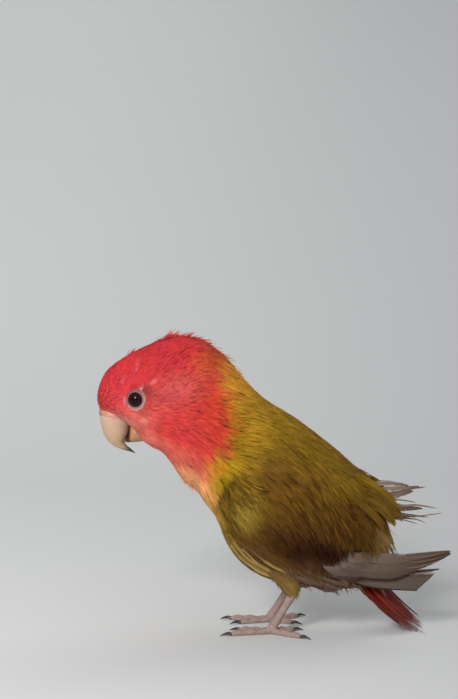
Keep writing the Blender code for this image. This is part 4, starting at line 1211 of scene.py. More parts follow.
def make_near_primaries():
    strands = Strands()
    drape = over_near_side()
    for k, row in enumerate(NEAR_PRIMARIES):
        points, tip_y, low, high, rim, tip, blunt, shade, lean, cut = row
        line = near_shaft(points, tip_y, k)
        up = [(0.1, -1, 0.12)] * (len(line) - 1) + [(0.05, -1, 0.05)]
        start = (20.5 + 21 * (k == 1) - points[0][0]) / (points[-1][0] - points[0][0])
        add_feather(strands, Quill(line, up), (high, low), 150, 70 + k, wear=0.05, splits=0.04,
                    start=start, lean=lean, tip=tip, blunt=blunt, rim=rim, shaft=0.06 + 0.26 * rim * (rim > 0.5), camber=0.05,
                    broad=0.9, cell=(0.05 + 0.22 * (k % 4), 0.3 + 0.06 * (k // 4)), shade=shade,
                    cut=cut, drape=drape)
    for k, (points, width, count) in enumerate(NEAR_WISPS):
        line = [(x, -14.4 - 0.1 * k, z) for x, z in points]
        add_lock(strands, Quill(line, [(0.1, -1, 0.1)] * 3), width, count, 130 + k, strand=0.15,
                 flat=0.10, late=0.6, short=0.5, close=0.15)
    obj = strands.build("primaries_left")
    obj.data.materials.append(vane_material(
        "near_primary_vane", (104, 84, 73), (122, 103, 90), (78, 60, 46), (44, 28, 22), dark_from=0.30,
        stem=(100, 82, 70)))
    finish_piece(obj, "wing_feathers", "wing_left")


def make_far_primaries():
    strands = Strands()
    for k, (points, low, high, shade, late) in enumerate(FAR_PRIMARIES):
        add_feather(strands, Quill(far_shaft(points), [(0.1, 1, 0.1)] * 4), (low, high), 70, 170 + k,
                    wear=0.75, splits=0.55, lean=2.6, tip=late, blunt=1.3, shaft=0.14, start=0.36,
                    broad=0.5,
                    cell=(0.05 + 0.22 * (k % 4), 0.3 + 0.06 * (k // 4)), shade=shade)
    for k, (points, width, count) in enumerate(FAR_WISPS):
        add_lock(strands, Quill(far_shaft(points), [(0.1, 1, 0.1)] * len(points)), width, count,
                 140 + k, strand=0.2, flat=0.10, short=0.5, close=0.05)
    obj = strands.build("primaries_right")
    obj.data.materials.append(vane_material(
        "far_primary_vane", (70, 50, 40), (186, 164, 148), (104, 84, 74), (52, 36, 30), dark_from=0.7))
    finish_piece(obj, "wing_feathers", "wing_right")


make_near_primaries()
make_far_primaries()


# Tertials that make the wing's rear corner: root x and z, then tip x, y, z
TERTIALS = [
    ((30.5, 63.6), (44.6, 5.8, 55.2)), ((33.6, 62.4), (48.6, 7.6, 52.4)),
    ((36.4, 61.0), (51.6, 8.8, 49.6)), ((37.0, 59.2), (52.4, 9.8, 47.4)),
    ((36.6, 58.0), (51.6, 10.8, 45.6)), ((35.6, 56.0), (49.4, 11.6, 43.6)),
    ((33.0, 54.0), (45.0, 12.6, 42.2)), ((30.0, 51.5), (41.0, 14.0, 40.2)),
]


def make_tertials(side, word):
    """Long soft feathers past the end of the folded wing, and fine ones that hang below them."""
    draw = np.random.default_rng(180 + side)
    strands = Strands()
    for k, (root, tip) in enumerate(TERTIALS):
        root = np.array(on_side(*root, side, 1.4))
        tip = np.array(tip) * (1, -side, 1)
        for n in range(9):
            begin = root + (tip - root) * draw.uniform(0, 0.35) + (0, 0, draw.normal(0, 1.1))
            close = tip - (tip - root) * draw.uniform(0, 0.22) + (0, 0, draw.normal(0, 1.1))
            middle = (begin + close) / 2 + np.array((0.5, -side * 0.55, 0.7))
            begin = begin + (0, side * 1.2, 0)
            shape = Quill([begin, middle, close], [(0.3, -side, 0.4)] * 3)
            add_lock(strands, shape, 1.2, 15, 190 + 10 * k + n, close=0.3, strand=0.33,
                     rings=7, late=0.5, flat=0.10, shift=(-2.0, 0, 1.5))
    obj = strands.build(f"tertials_{word}")
    obj.data.materials.append(WING_COAT)
    finish_piece(obj, "wing_feathers")
    strands = Strands()
    count = 520
    x = 33 + 11 * np.sqrt(draw.uniform(0, 1, count))
    z = np.interp(x, [33, 40, 48], [42, 41, 44]) + draw.normal(0, 2.6, count)
    roots = np.array([on_side(a, b, side, -0.4) for a, b in zip(x, z)])
    add_loose(strands, roots, way(draw.normal(70, 9, count), draw.normal(0, 0.08, count)),
              draw.uniform(5, 9.5, count), draw.uniform(0.14, 0.26, count), (0.06, 0.0, -0.04),
              place=roots + (0, 0, -3.0), seed=181)
    x = draw.uniform(36, 44.5, count)
    z = np.interp(x, [36, 46], [62, 50]) + draw.normal(0, 1.4, count)
    roots = np.array([on_side(a, b, side, -0.5) for a, b in zip(x, z)])
    add_loose(strands, roots, way(draw.normal(52, 10, count), draw.normal(0, 0.1, count)),
              draw.uniform(5, 9, count), draw.uniform(0.16, 0.28, count), (0.05, 0.0, -0.03),
              seed=183)
    obj = strands.build(f"rump_strands_{word}")
    obj.data.materials.append(COAT)
    finish_piece(obj, "body_feathers")


for side, word in ((LEFT, "left"), (RIGHT, "right")):
    make_tertials(side, word)

# The folded wing's bend, from its top down along the breast: x and z
BEND = [(-12.0, 65.4), (-14.6, 63.8), (-16.8, 61.4), (-18.8, 58.6), (-20.2, 55.2), (-21.2, 52.0),
        (-21.4, 48.8), (-20.6, 44.6), (-19.2, 40.8), (-17.2, 36.0)]


def streak(strands, x, z, side, degrees, step, width, seed):
    """A lock over the coat that turns through the degrees on its way."""
    line = [on_side(x, z, side, 0.2)]
    for angle, out in zip(np.radians(degrees), (0.9, 0.8)):
        x, z = x + step * math.cos(angle), z - step * math.sin(angle)
        line.append(on_side(x, z, side, out))
    add_lock(strands, Quill(line, [(0, -side, 0)] * 3), width, 7, seed, close=0.4, strand=0.2,
             rings=5, late=0.5, flat=0.08, shift=(0, 0, 0))


def make_streaks(side, word):
    """Feather edges that show: along the bend and curving back over it, and down the wing."""
    draw = np.random.default_rng(250 + side)
    for name, tone, bend, wing in (("pale", PALE_STREAK, 50, 56), ("dark", DARK_STREAK, 44, 80)):
        strands = Strands()
        for n in range(bend):
            k = draw.uniform(0, len(BEND) - 1)
            back = draw.uniform(0.2, 7.0) * (n % 4 > 0)
            x, z = spline(BEND, np.array([k]))[0] + (back, -0.5 * back)
            down = np.interp(k, [0, 2, 4, 6, 9], [34, 60, 76, 72, 58]) - 2.5 * back
            streak(strands, x, z, side, (down, down - 14), 3.4, draw.uniform(0.3, 0.6), 260 + n)
        for n in range(wing):
            x = draw.uniform(2, 40)
            z = draw.uniform(max(36, vane_line(x) + 6), 84 - 0.8 * x)
            spot = np.array([[x, 0.0, z]]) * MM
            angles = []
            for _ in range(2):
                ahead = lie(spot, np.array([[0.0, -1.0, 0.0]]))[0]
                angles.append(math.degrees(math.atan2(-ahead[2], ahead[0])))
                spot = spot + ahead * 3.4 * MM
            streak(strands, x, z, side, angles, 3.4, draw.uniform(0.2, 0.5), 360 + n)
        obj = strands.build(f"feather_edges_{name}_{word}")
        obj.data.materials.append(tone)
        finish_piece(obj, "wing_feathers")


for side, word in ((LEFT, "left"), (RIGHT, "right")):
    make_streaks(side, word)

# Long soft plumes on the flank: x and z at the root, in the middle and at the tip, and width
PLUMES = [
    ((-16, 36), (-10, 29.0), (-1.5, 23.6), 1.5), ((-15, 38), (-8.5, 30.4), (3.0, 23.6), 1.5),
    ((-12, 32), (-4.5, 25.8), (5.5, 22.2), 2.0), ((-11, 36), (-4, 28.6), (7.0, 23.4), 1.6),
    ((-8, 36), (0, 29.0), (9.5, 24.0), 1.2), ((-16, 41), (-12, 33.6), (-4.0, 27.0), 1.1),
    ((-4, 29), (3, 24.0), (11.5, 20.6), 1.4),
]


def make_plumes(side, word):
    strands = Strands()
    for k, (root, middle, tip, width) in enumerate(PLUMES):
        line = [on_side(*root, side, -0.8), on_side(*middle, side, 1.0), on_side(*tip, side, 3.0)]
        add_lock(strands, Quill(line, [(0.1, -side, 0)] * 3), width, 60, 210 + k, close=0.15,
                 strand=0.2, rings=7, late=0.6, short=0.4, flat=0.12)
    obj = strands.build(f"flank_plumes_{word}")
    obj.data.materials.append(PLUME)
    finish_piece(obj, "body_feathers")


PLUME = vane_material("flank_plume", (118, 90, 42), (180, 150, 86), (150, 122, 72), (106, 80, 38))
for side, word in ((LEFT, "left"), (RIGHT, "right")):
    make_plumes(side, word)


def make_wing_fringe(side, word):
    """Small pale feathers under the folded wing's edge, with loose barbs that hang from them."""
    draw = np.random.default_rng(150 + side)
    strands = Strands()
    for k, (root, tip, width) in enumerate((
            ((4, 29.0), (20, 20.6), 2.4), ((6, 28.5), (25.5, 17.6), 2.6),
            ((9, 28.6), (27.5, 18.8), 2.4), ((0, 28.0), (14.5, 19.4), 2.0),
            ((12, 29.4), (30.0, 20.4), 2.2))):
        begin = on_side(*root, side, 0.3)
        middle = on_side((root[0] + tip[0]) / 2, (root[1] + tip[1]) / 2 - 1.0, side, 1.0)
        close = on_side(*tip, side, 0.4)
        line = [begin, middle, (tip[0], middle[1] + side * 0.6, tip[1])]
        add_feather(strands, Quill(line, [(0.2, -side, 0.1)] * 3), (width, width), 44,
                    152 + k, wear=0.15, splits=0.12, lean=1.6, tip=0.6, rim=0.6, shaft=0.2,
                    cell=(0.05 + 0.22 * (k % 4), 0.6 + 0.06 * (k // 4)))
    count = 60
    x = draw.uniform(12, 34, count)
    z = np.interp(x, [12, 24, 34], [22.5, 19.5, 20.0]) + draw.uniform(0, 2.5, count)
    roots = np.array([on_side(a, b, side, 0.2) for a, b in zip(x, z)])
    ways = way(draw.normal(58, 10, count), draw.normal(0, 0.1, count))
    long = draw.uniform(3.0, 7.5, count)
    t = np.linspace(0, 1, 6)
    centres = roots[:, None] * MM + (ways * long[:, None] * MM)[:, None] * t[None, :, None]
    half = np.full((count, 6), 0.11 * MM)
    up = np.broadcast_to(np.array([0.0, -side, 0.0]), centres.shape)
    strands.add(centres, up, half, half * 0.5, draw.uniform(0.1, 0.9, (count, 2)),
                along=np.full((count, 1), 0.7), across=np.full((count, 1), 0.2),
                tuft=draw.uniform(0, 1, (count, 1)), strand=draw.uniform(0, 1, (count, 1)),
                rim=np.zeros((count, 1)))
    obj = strands.build(f"wing_fringe_{word}")
    obj.data.materials.append(FRINGE_VANE)
    finish_piece(obj, "wing_feathers")


FRINGE_VANE = vane_material("wing_fringe_vane", (110, 84, 66), (152, 122, 102), (92, 68, 54),
                            (50, 32, 26))
for side, word in ((LEFT, "left"), (RIGHT, "right")):
    make_wing_fringe(side, word)

TAIL_ROOT = (30.0, 35.5)
TAIL_BEND = (43.0, 12.0)
TAIL_TIP = (61.0, 0.3)
TAIL_ROLL = (40.0, 9.0)
TAIL_FAN = 8.0
TAIL_FEATHERS = 12


def tail_frame(t):
    """The tail's middle line at t: a point in millimetres, and the ways ahead, left and up."""
    root, bend, tip = (np.array((x, 0, z)) for x, z in (TAIL_ROOT, TAIL_BEND, TAIL_TIP))
    point = root * (1 - t) ** 2 + bend * 2 * t * (1 - t) + tip * t * t
    ahead = Vector((bend - root) * (1 - t) + (tip - bend) * t).normalized()
    roll = math.radians(TAIL_ROLL[0] + (TAIL_ROLL[1] - TAIL_ROLL[0]) * t)
    left = Matrix.Rotation(roll, 3, ahead) @ Vector((0, -1, 0))
    return point, np.array(ahead), np.array(left), np.array(left.cross(ahead))


def tail_quill(side, reach, spread, height, steps=6):
    line, ups = [], []
    for i in range(steps + 1):
        t = 0.06 + (reach - 0.06) * i / steps
        point, _, left, up = tail_frame(t)
        line.append(point + left * side * (3.4 + spread * t) + up * height(t))
        ups.append(up)
    return Quill(line, ups)


def make_tail():
    draw = np.random.default_rng(5)
    strands = Strands()
    spread = math.dist(TAIL_TIP, TAIL_ROOT) * math.sin(math.radians(TAIL_FAN))
    middle = (TAIL_FEATHERS - 1) / 2
    for k in range(TAIL_FEATHERS):
        side = (k - middle) / middle
        below = 0.36 * abs(k - middle + 0.3)
        reach = 1.0 - 0.13 * abs(side) ** 1.5 + draw.uniform(-0.10, 0.02)
        quill = tail_quill(side, reach, spread, lambda t: 0.4 - below * (1 - 0.35 * t))
        add_feather(strands, quill, (2.2, 2.2), 60, 90 + k, wear=0.5, splits=0.5, lean=6.0,
                    tip=0.3, rim=0.4, shaft=0.25,
                    cell=(0.05 + 0.22 * (k % 4), 0.3 + 0.06 * (k // 4)))
    for k in range(30):
        side = draw.uniform(-1.1, 1.1)
        quill = tail_quill(side, draw.uniform(0.72, 1.02), spread * 0.9, lambda t: 0.6 + 0.4 * side)
        add_lock(strands, quill, draw.uniform(0.6, 1.3), 12, 230 + k, strand=0.3, late=0.6,
                 flat=0.2)
    obj = strands.build("tail_feathers")
    # the tail's own dark red, made darker still as painted shade
    obj.data.materials.append(vane_material(
        "tail_vane", (100, 20, 13), (166, 52, 34), (104, 42, 32), (54, 18, 12), dark_from=0.5))
    finish_piece(obj, "tail_feathers", "tail")
    strands = Strands()
    for above, count, reach, lift in ((1, 26, 0.55, 4.4), (-1, 26, 0.60, 4.0)):
        for k in range(count):
            side = draw.uniform(-1.3, 1.3)
            far = reach * draw.uniform(0.5, 1.0)
            rest = draw.uniform(0.6, 1.4) + (0.0 if above > 0 else 1.3)
            quill = tail_quill(side, far, 2.0, lambda t: above * (
                lift * (1 - t) ** 1.6 * (1 - 0.3 * side ** 2) + rest))
            add_feather(strands, quill, (2.0, 2.0), 24, 120 + k + 40 * above, wear=0.5, splits=0.5,
                        lean=3.6, tip=0.5, shaft=0.12,
                        cell=(0.05 + 0.22 * (k % 4), 0.3 + 0.05 * (k // 4)))
    obj = strands.build("tail_coverts")
    obj.data.materials.append(vane_material(
        "tail_covert_vane", (128, 88, 30), (158, 118, 48), (130, 70, 34), (120, 84, 36)))
    finish_piece(obj, "tail_feathers")


make_tail()


# Eyes


def looking_frame(side):
    centre, look = EYES[side]
    across = look.cross(Vector((0, 0, 1))).normalized()
    return np.array(centre), np.array(look), np.array(across), np.array(across.cross(look))


def turned_form(name, centre, look, across, up, profile, around):
    """A form turned about the way an eye looks: profile rows of radius and height along it.

    A row may be a function of the angle that gives them.
    """
    angle = np.arange(around) / around * TAU
    rings = []
    for row in profile:
        radius, height = row(angle) if callable(row) else row
        rings.append(centre + (np.cos(angle)[:, None] * across + np.sin(angle)[:, None] * up)
                     * np.atleast_1d(radius)[:, None] * MM
                     + look * np.atleast_1d(height)[:, None] * MM)
    return closed_grid(name, np.array(rings))


def eye_material():
    """A wet dark eye: black pupil, very dark brown iris with fine rays."""
    material, tree, shader = new_material("wet_dark_eye", Roughness=0.05, Coat_Weight=0.15,
                                          Coat_Roughness=0.02, Specular_IOR_Level=0.08)
    ring = attribute(tree, "from_pupil")
    rays = add_node(tree, "TexNoise", None, Scale=3000.0, Detail=2.0)
    iris = mix_colour(tree, rays.outputs[0], colour(34, 10, 10), colour(56, 20, 18))
    pupil = remap(tree, ring, 0.52, 0.60, 1.0, 0.0)
    rim = remap(tree, ring, 0.80, 0.95)
    shown = mix_colour(tree, pupil, iris, colour(20, 2, 6))
    shown = mix_colour(tree, rim, shown, colour(16, 8, 8))
    tree.links.new(shown, shader.inputs["Base Color"])
    return material


def lid_material():
    """Bare pale skin round the eye, greyer and darker at its inner edge, with painted shade in the groove between its
    rings.
    """
    material, tree, shader = new_material("pale_lid_skin", Roughness=0.55, Subsurface_Weight=0.1,
                                          Subsurface_Scale=0.001)
    inner = attribute(tree, "from_pupil")
    grain = add_node(tree, "TexNoise", None, Scale=1600.0, Detail=4.0)
    worn = remap(tree, grain.outputs[0], 0.35, 0.65)
    patches = add_node(tree, "TexNoise", None, Scale=620.0, Detail=2.0)
    pale = mix_colour(tree, worn, colour(188, 118, 116), colour(222, 182, 176))
    dim = mix_colour(tree, worn, colour(140, 54, 58), colour(164, 82, 82))
    lit = maths(tree, "MULTIPLY", attribute(tree, "lit"),
                remap(tree, patches.outputs[0], 0.40, 0.56, 0.10, 1.0))
    shown = mix_colour(tree, lit, dim, pale)
    shown = mix_colour(tree, remap(tree, inner, 0.20, 0.34, 0.9, 0.0), shown, colour(132, 112, 116))
    # painted shade: the groove between the grey inner ring and the pale outer ring is darkened
    groove = remap(tree, maths(tree, "ABSOLUTE", maths(tree, "SUBTRACT", inner, 0.38)), 0.05, 0.16,
                   0.8, 0.0)
    shown = mix_colour(tree, maths(tree, "MULTIPLY", groove, 0.75), shown, colour(104, 62, 64))
    dark = remap(tree, inner, 0.0, 0.10, 1.0, 0.0)
    shown = mix_colour(tree, dark, shown, colour(60, 44, 46))
    bump = add_node(tree, "Bump", None, Strength=0.4, Distance=0.0002, Height=grain.outputs[0])
    tree.links.new(shown, shader.inputs["Base Color"])
    tree.links.new(bump.outputs[0], shader.inputs["Normal"])
    return material


def set_values(obj, label, values):
    layer = obj.data.attributes.new(label, "FLOAT", "POINT")
    layer.data.foreach_set("value", np.asarray(values, np.float32))


def make_eyes():
    eye_finish, lid_finish = eye_material(), lid_material()
    for side, word in ((LEFT, "left"), (RIGHT, "right")):
        centre, look, across, up = looking_frame(side)
        profile = []
        steps = np.linspace(0.02, math.pi - 0.02, 34)
        for a in steps:
            radius, height = EYE_RADIUS * math.sin(a), EYE_RADIUS * math.cos(a)
            bulge = 0.22 * math.exp(-(radius / 1.9) ** 2) if height > 0 else 0.0
            profile.append((radius, height + bulge))
        eye = turned_form(f"eye_{word}_ball", centre, look, across, up, profile[::-1], 48)
        local = np.array([v.co for v in eye.data.vertices]) - centre
        out = np.linalg.norm(local - look * (local @ look)[:, None], axis=1) / MM
        set_values(eye, "from_pupil", np.where(local @ look > 0, out / 3.1, 1.0))
        eye.data.materials.append(eye_finish)
        finish_piece(eye, "eye", f"eye_{word}")

        def bead(radius, height, size, count, phase):
            def row(angle):
                swell = size * np.abs(np.cos(angle * count / 2 + phase)) ** 0.8
                return radius + 0 * angle, height + swell
            return row

        rim = EYE_RADIUS - EYE_PROUD
        rows = [(2.84, 2.7), (2.88, rim - 0.36), (2.98, rim - 0.26), bead(3.10, rim - 0.28, 0.06, 44, 0),
                (3.24, rim - 0.32), (3.36, rim - 0.46), (3.48, rim - 0.46), (3.58, rim - 0.32),
                bead(3.74, rim - 0.28, 0.12, 40, 0.7), (3.90, rim - 0.28),
                bead(4.06, rim - 0.30, 0.12, 38, 0.2), (4.24, rim - 0.36), (4.44, rim - 0.60),
                (4.54, rim - 1.0), (4.46, rim - 1.7), (3.6, rim - 1.8)]
        count = 160
        angle = np.arange(count) / count * TAU
        rings = []
        for row in rows:
            radius, height = row(angle) if callable(row) else row
            outer = smooth_step(3.3, 4.2, np.asarray(radius))
            radius = radius + outer * (0.16 * np.sin(angle * 3 + 1) + 0.10 * np.sin(angle * 8 + 2))
            height = height + outer * 0.08 * np.sin(angle * 5 + side)
            rings.append(centre + (np.cos(angle)[:, None] * across + np.sin(angle)[:, None] * up)
                         * np.broadcast_to(radius, angle.shape)[:, None] * MM
                         + look * np.broadcast_to(height, angle.shape)[:, None] * MM)
        rings = np.array(rings)
        i, j = np.meshgrid(np.arange(len(rows)), np.arange(count), indexing="ij")
        m, n = (i + 1) % len(rows), (j + 1) % count
        faces = np.stack([i * count + j, m * count + j, m * count + n, i * count + n], -1)
        lid = mesh_from_arrays(f"lid_{word}", rings.reshape(-1, 3), [faces.reshape(-1, 4)])
        local = rings.reshape(-1, 3) - centre
        out = np.linalg.norm(local - look * (local @ look)[:, None], axis=1) / MM
        set_values(lid, "from_pupil", (out - 2.9) / 1.5)
        round_way = unit(local) @ np.array([0.62, 0.0, -0.78])
        set_values(lid, "lit", smooth_step(-0.45, 0.40, round_way + 0.25 * (unit(local)[:, 0] < -0.4)))
        lid.data.materials.append(lid_finish)
        finish_piece(lid, "foot_skin")


make_eyes()


# Bill

UPPER_BILL = [
    (-65.6, 92.0, -55.2, 88.0, 5.2, 0.0), (-69.0, 88.8, -56.6, 84.4, 6.0, 0.0),
    (-68.9, 85.4, -57.0, 82.4, 6.0, 0.0), (-68.3, 81.8, -57.2, 80.6, 5.7, 0.0),
    (-67.2, 78.4, -57.6, 79.2, 5.1, 0.0), (-65.4, 75.8, -58.3, 77.8, 4.2, 0.0),
    (-62.8, 73.9, -59.1, 76.4, 3.1, 0.0), (-60.0, 72.7, -58.7, 74.9, 2.0, 0.0),
    (-57.2, 72.0, -57.0, 73.4, 1.1, 0.0), (-54.9, 71.2, -55.0, 71.6, 0.4, 0.0),
]
LOWER_BILL = [
    (-54.0, 85.2, -48.0, 77.6, 4.6, 0.0), (-57.0, 83.6, -51.2, 76.3, 5.2, 0.0),
    (-57.4, 80.4, -54.4, 75.8, 4.8, 0.0), (-58.1, 78.4, -57.0, 75.7, 3.9, 0.0),
    (-58.8, 77.0, -58.8, 75.9, 2.3, 0.0),
]


NOSTRILS = [(-68.3, -2.5, 87.0), (-68.3, 2.5, 87.0)]


def bill_material():
    """Pinkish horn, paler at the root, faintly layered, greyer and darker at the hooked tip."""
    material, tree, shader = new_material("pale_horn", Roughness=0.38, Specular_IOR_Level=0.4,
                                          Subsurface_Weight=0.08, Subsurface_Scale=0.001)
    place = add_node(tree, "NewGeometry").outputs["Position"]
    along = attribute(tree, "along")
    cloud = add_node(tree, "TexNoise", None, Vector=place, Scale=260.0, Detail=4.0)
    shown = mix_colour(tree, cloud.outputs[0], colour(182, 148, 122), colour(202, 166, 138))
    root = remap(tree, along, 0.02, 0.35, 1.0, 0.0)
    shown = mix_colour(tree, maths(tree, "MULTIPLY", root, 0.6), shown, colour(204, 164, 150))
    late = remap(tree, along, 0.38, 0.72)
    shown = mix_colour(tree, maths(tree, "MULTIPLY", late, 0.8), shown, colour(190, 162, 124))
    end = remap(tree, along, 0.72, 0.90)
    shown = mix_colour(tree, end, shown, colour(66, 64, 50))
    shown = mix_colour(tree, attribute(tree, "pit"), shown, colour(120, 70, 60))
    layers = add_node(tree, "TexWave", {"bands_direction": "Z"}, Vector=place, Scale=420.0,
                      Distortion=3.0, Detail=2.0)
    height = maths(tree, "MULTIPLY_ADD", layers.outputs[0], 0.3, cloud.outputs[0])
    bump = add_node(tree, "Bump", None, Strength=0.25, Distance=0.0002, Height=height)
    tree.links.new(shown, shader.inputs["Base Color"])
    tree.links.new(bump.outputs[0], shader.inputs["Normal"])
    return material


def lower_bill_material():
    material, tree, shader = new_material("warm_horn", Roughness=0.42, Specular_IOR_Level=0.4)
    place = add_node(tree, "NewGeometry").outputs["Position"]
    cloud = add_node(tree, "TexNoise", None, Vector=place, Scale=300.0, Detail=4.0)
    shown = mix_colour(tree, cloud.outputs[0], colour(168, 120, 80), colour(184, 138, 98))
    edge = remap(tree, attribute(tree, "along"), 0.65, 1.0, 0.0, 0.7)
    shown = mix_colour(tree, edge, shown, colour(150, 118, 82))
    parts = add_node(tree, "SeparateXYZ", None, Vector=place)
    # painted shade: the lower bill's front, in the gap under the upper bill's edge, is dark
    gape = remap(tree, parts.outputs[0], -0.0572, -0.0560, 1.0, 0.0)
    shown = mix_colour(tree, gape, shown, colour(70, 34, 22))
    bump = add_node(tree, "Bump", None, Strength=0.3, Distance=0.0002, Height=cloud.outputs[0])
    tree.links.new(shown, shader.inputs["Base Color"])
    tree.links.new(bump.outputs[0], shader.inputs["Normal"])
    return material


def make_bill():
    for name, rows, material, node in (
            ("bill_upper_horn", UPPER_BILL, bill_material(), "bill_upper"),
            ("bill_lower_horn", LOWER_BILL, lower_bill_material(), "bill_lower")):
        steps, around = 110, 96
        s = np.linspace(0, len(rows) - 1, steps)[:, None] * np.ones(around)
        turn = (np.arange(around) / around * TAU)[None, :] * np.ones((steps, 1))
        rings = section_points(rows, s, turn)
        middle = rings.mean(axis=1, keepdims=True)
        pit = np.zeros(rings.shape[:2])
        for nostril in NOSTRILS:
            away = np.linalg.norm(rings - np.array(nostril) * MM, axis=-1) / MM
            pit = np.maximum(pit, 1 - smooth_step(0.25, 0.85, away))
        flakes = np.sin(rings[..., 2] / MM * 5 + 3 * np.sin(turn * 3)) * np.sin(turn * 7 + s) * 0.03
        rings = rings - unit(rings - middle) * ((0.6 * pit + flakes * (s > 1)) * MM)[..., None]
        obj = closed_grid(name, rings)
        along = np.concatenate([(s / (len(rows) - 1)).ravel(), [0.0, 1.0]])
        set_values(obj, "along", along)
        set_values(obj, "pit", np.concatenate([pit.ravel(), [0.0, 0.0]]))
        obj.data.materials.append(material)
        finish_piece(obj, "bill", node)


make_bill()


def make_bill_fringe():
    """Short feathers that grow over the root of the upper bill, furthest down beside its ridge."""
    s = np.linspace(0, 2, 61)[:, None] * np.ones(97)
    turn = np.linspace(0, TAU, 97)[None, :] * np.ones((61, 1))
    bed = Bed(section_points(UPPER_BILL, s, turn), 2)
    s, turn = scatter(bed, lambda s, turn, p: (s > 0.45) & (s < 1.12 + 0.20 * np.cos(turn))
                      & (fold_turn(turn) < 2.6), lambda s: 0.36 + 0 * s, 60000, 251)
    draw = np.random.default_rng(252)
    _, normal, along, _ = bed.at(s, turn)
    heading = unit(along - normal * dot(along, normal)[:, None])
    long = draw.uniform(0.8, 1.9, len(s)) * (1 + 0.2 * np.cos(fold_turn(turn))) * MM
    strands = Strands()
    *shapes, values = tuft_strands(
        bed, s, turn, heading, long, long * 0.45, np.full(len(s), 0.13 * MM),
        np.full(len(s), 0.12 * MM), 0.28 * MM * draw.uniform(0.2, 1.6, len(s)), 5, 3, 253)
    strands.add(*shapes, **values)
    obj = strands.build("bill_root_fringe")
    obj.data.materials.append(HEAD_COAT)
    finish_piece(obj, "head_feathers")


make_bill_fringe()


# Legs, feet and claws

SOLE_AT = (-0.5, 1.5)
TARSUS_RADIUS = 1.6
# name, heading in degrees from straight ahead towards the outside, length
TOES = [
    ("inner_front", -16.0, 12.5),
    ("outer_front", 12.0, 16.0),
    ("outer_back", 148.0, 13.5),
    ("inner_back", -158.0, 9.5),
]
TOE_RADIUS = 1.35
TOE_PADS = (1.0, 1.08, 0.9, 1.04, 0.86, 0.96, 0.66)
PAD_FLAT = 0.25
CLAW_LENGTH = 4.8


def limb(name, path, radii, around=24, steps=12):
    """A smooth closed round limb through a few points, in millimetres."""
    path, radii = np.array(path, float), np.array(radii, float)
    s = np.linspace(0, len(path) - 1, steps * (len(path) - 1) + 1)
    line = spline(path, s)
    size = spline(radii[:, None], s)[:, 0]
    ahead = unit(np.gradient(line, axis=0))
    side = np.cross(ahead, [0, 0, 1.0])
    weak = np.linalg.norm(side, axis=1) < 0.2
    side[weak] = np.cross(ahead[weak], [1.0, 0, 0])
    side = unit(side)
    up = np.cross(side, ahead)
    angle = np.arange(around) / around * TAU
    rings = (line[:, None] + (side[:, None] * np.cos(angle)[None, :, None]
             + up[:, None] * np.sin(angle)[None, :, None]) * size[:, None, None])
    return closed_grid(name, rings * MM)


def toe_line(side, heading, length):
    angle = math.radians(heading) * side
    ahead = np.array((-math.cos(angle), -math.sin(angle), 0))
    start = np.array((SOLE_AT[0], -side * LEG_SIDE, 0))
    path = [start + ahead * length * t + np.array((0, 0, TOE_RADIUS * pad - PAD_FLAT))
            for t, pad in zip((0.0, 0.14, 0.32, 0.5, 0.68, 0.84, 1.0), TOE_PADS)]
    return path, ahead


def foot_material():
    """Greyish pink scaly skin: small plates with darker seams."""
    material, tree, shader = new_material("scaly_foot_skin", Roughness=0.6, Specular_IOR_Level=0.3)
    place = add_node(tree, "NewGeometry").outputs["Position"]
    cells = add_node(tree, "TexVoronoi", {"feature": "DISTANCE_TO_EDGE"}, Vector=place, Scale=1500.0)
    seam = remap(tree, cells.outputs[0], 0.0, 0.12, 1.0, 0.0)
    cloud = add_node(tree, "TexNoise", None, Vector=place, Scale=400.0, Detail=3.0)
    shown = mix_colour(tree, cloud.outputs[0], colour(150, 126, 117), colour(186, 162, 152))
    shown = mix_colour(tree, maths(tree, "MULTIPLY", seam, 0.5), shown, colour(112, 86, 80))
    groove = remap(tree, attribute(tree, "groove"), 0.0, 1.0, 0.0, 0.55)
    shown = mix_colour(tree, groove, shown, colour(106, 80, 74))
    height = remap(tree, cells.outputs[0], 0.0, 0.2)
    bump = add_node(tree, "Bump", None, Strength=0.6, Distance=0.0002, Height=height)
    tree.links.new(shown, shader.inputs["Base Color"])
    tree.links.new(bump.outputs[0], shader.inputs["Normal"])
    return material


def claw_material():
    material, tree, shader = new_material("dark_claw_horn", Roughness=0.35)
    along = attribute(tree, "along")
    shown = mix_colour(tree, remap(tree, along, 0.0, 0.6), colour(120, 106, 98), colour(44, 40, 38))
    place = add_node(tree, "NewGeometry").outputs["Position"]
    grain = add_node(tree, "TexNoise", None, Vector=place, Scale=1800.0)
    bump = add_node(tree, "Bump", None, Strength=0.2, Distance=0.0002, Height=grain.outputs[0])
    tree.links.new(shown, shader.inputs["Base Color"])
    tree.links.new(bump.outputs[0], shader.inputs["Normal"])
    return material


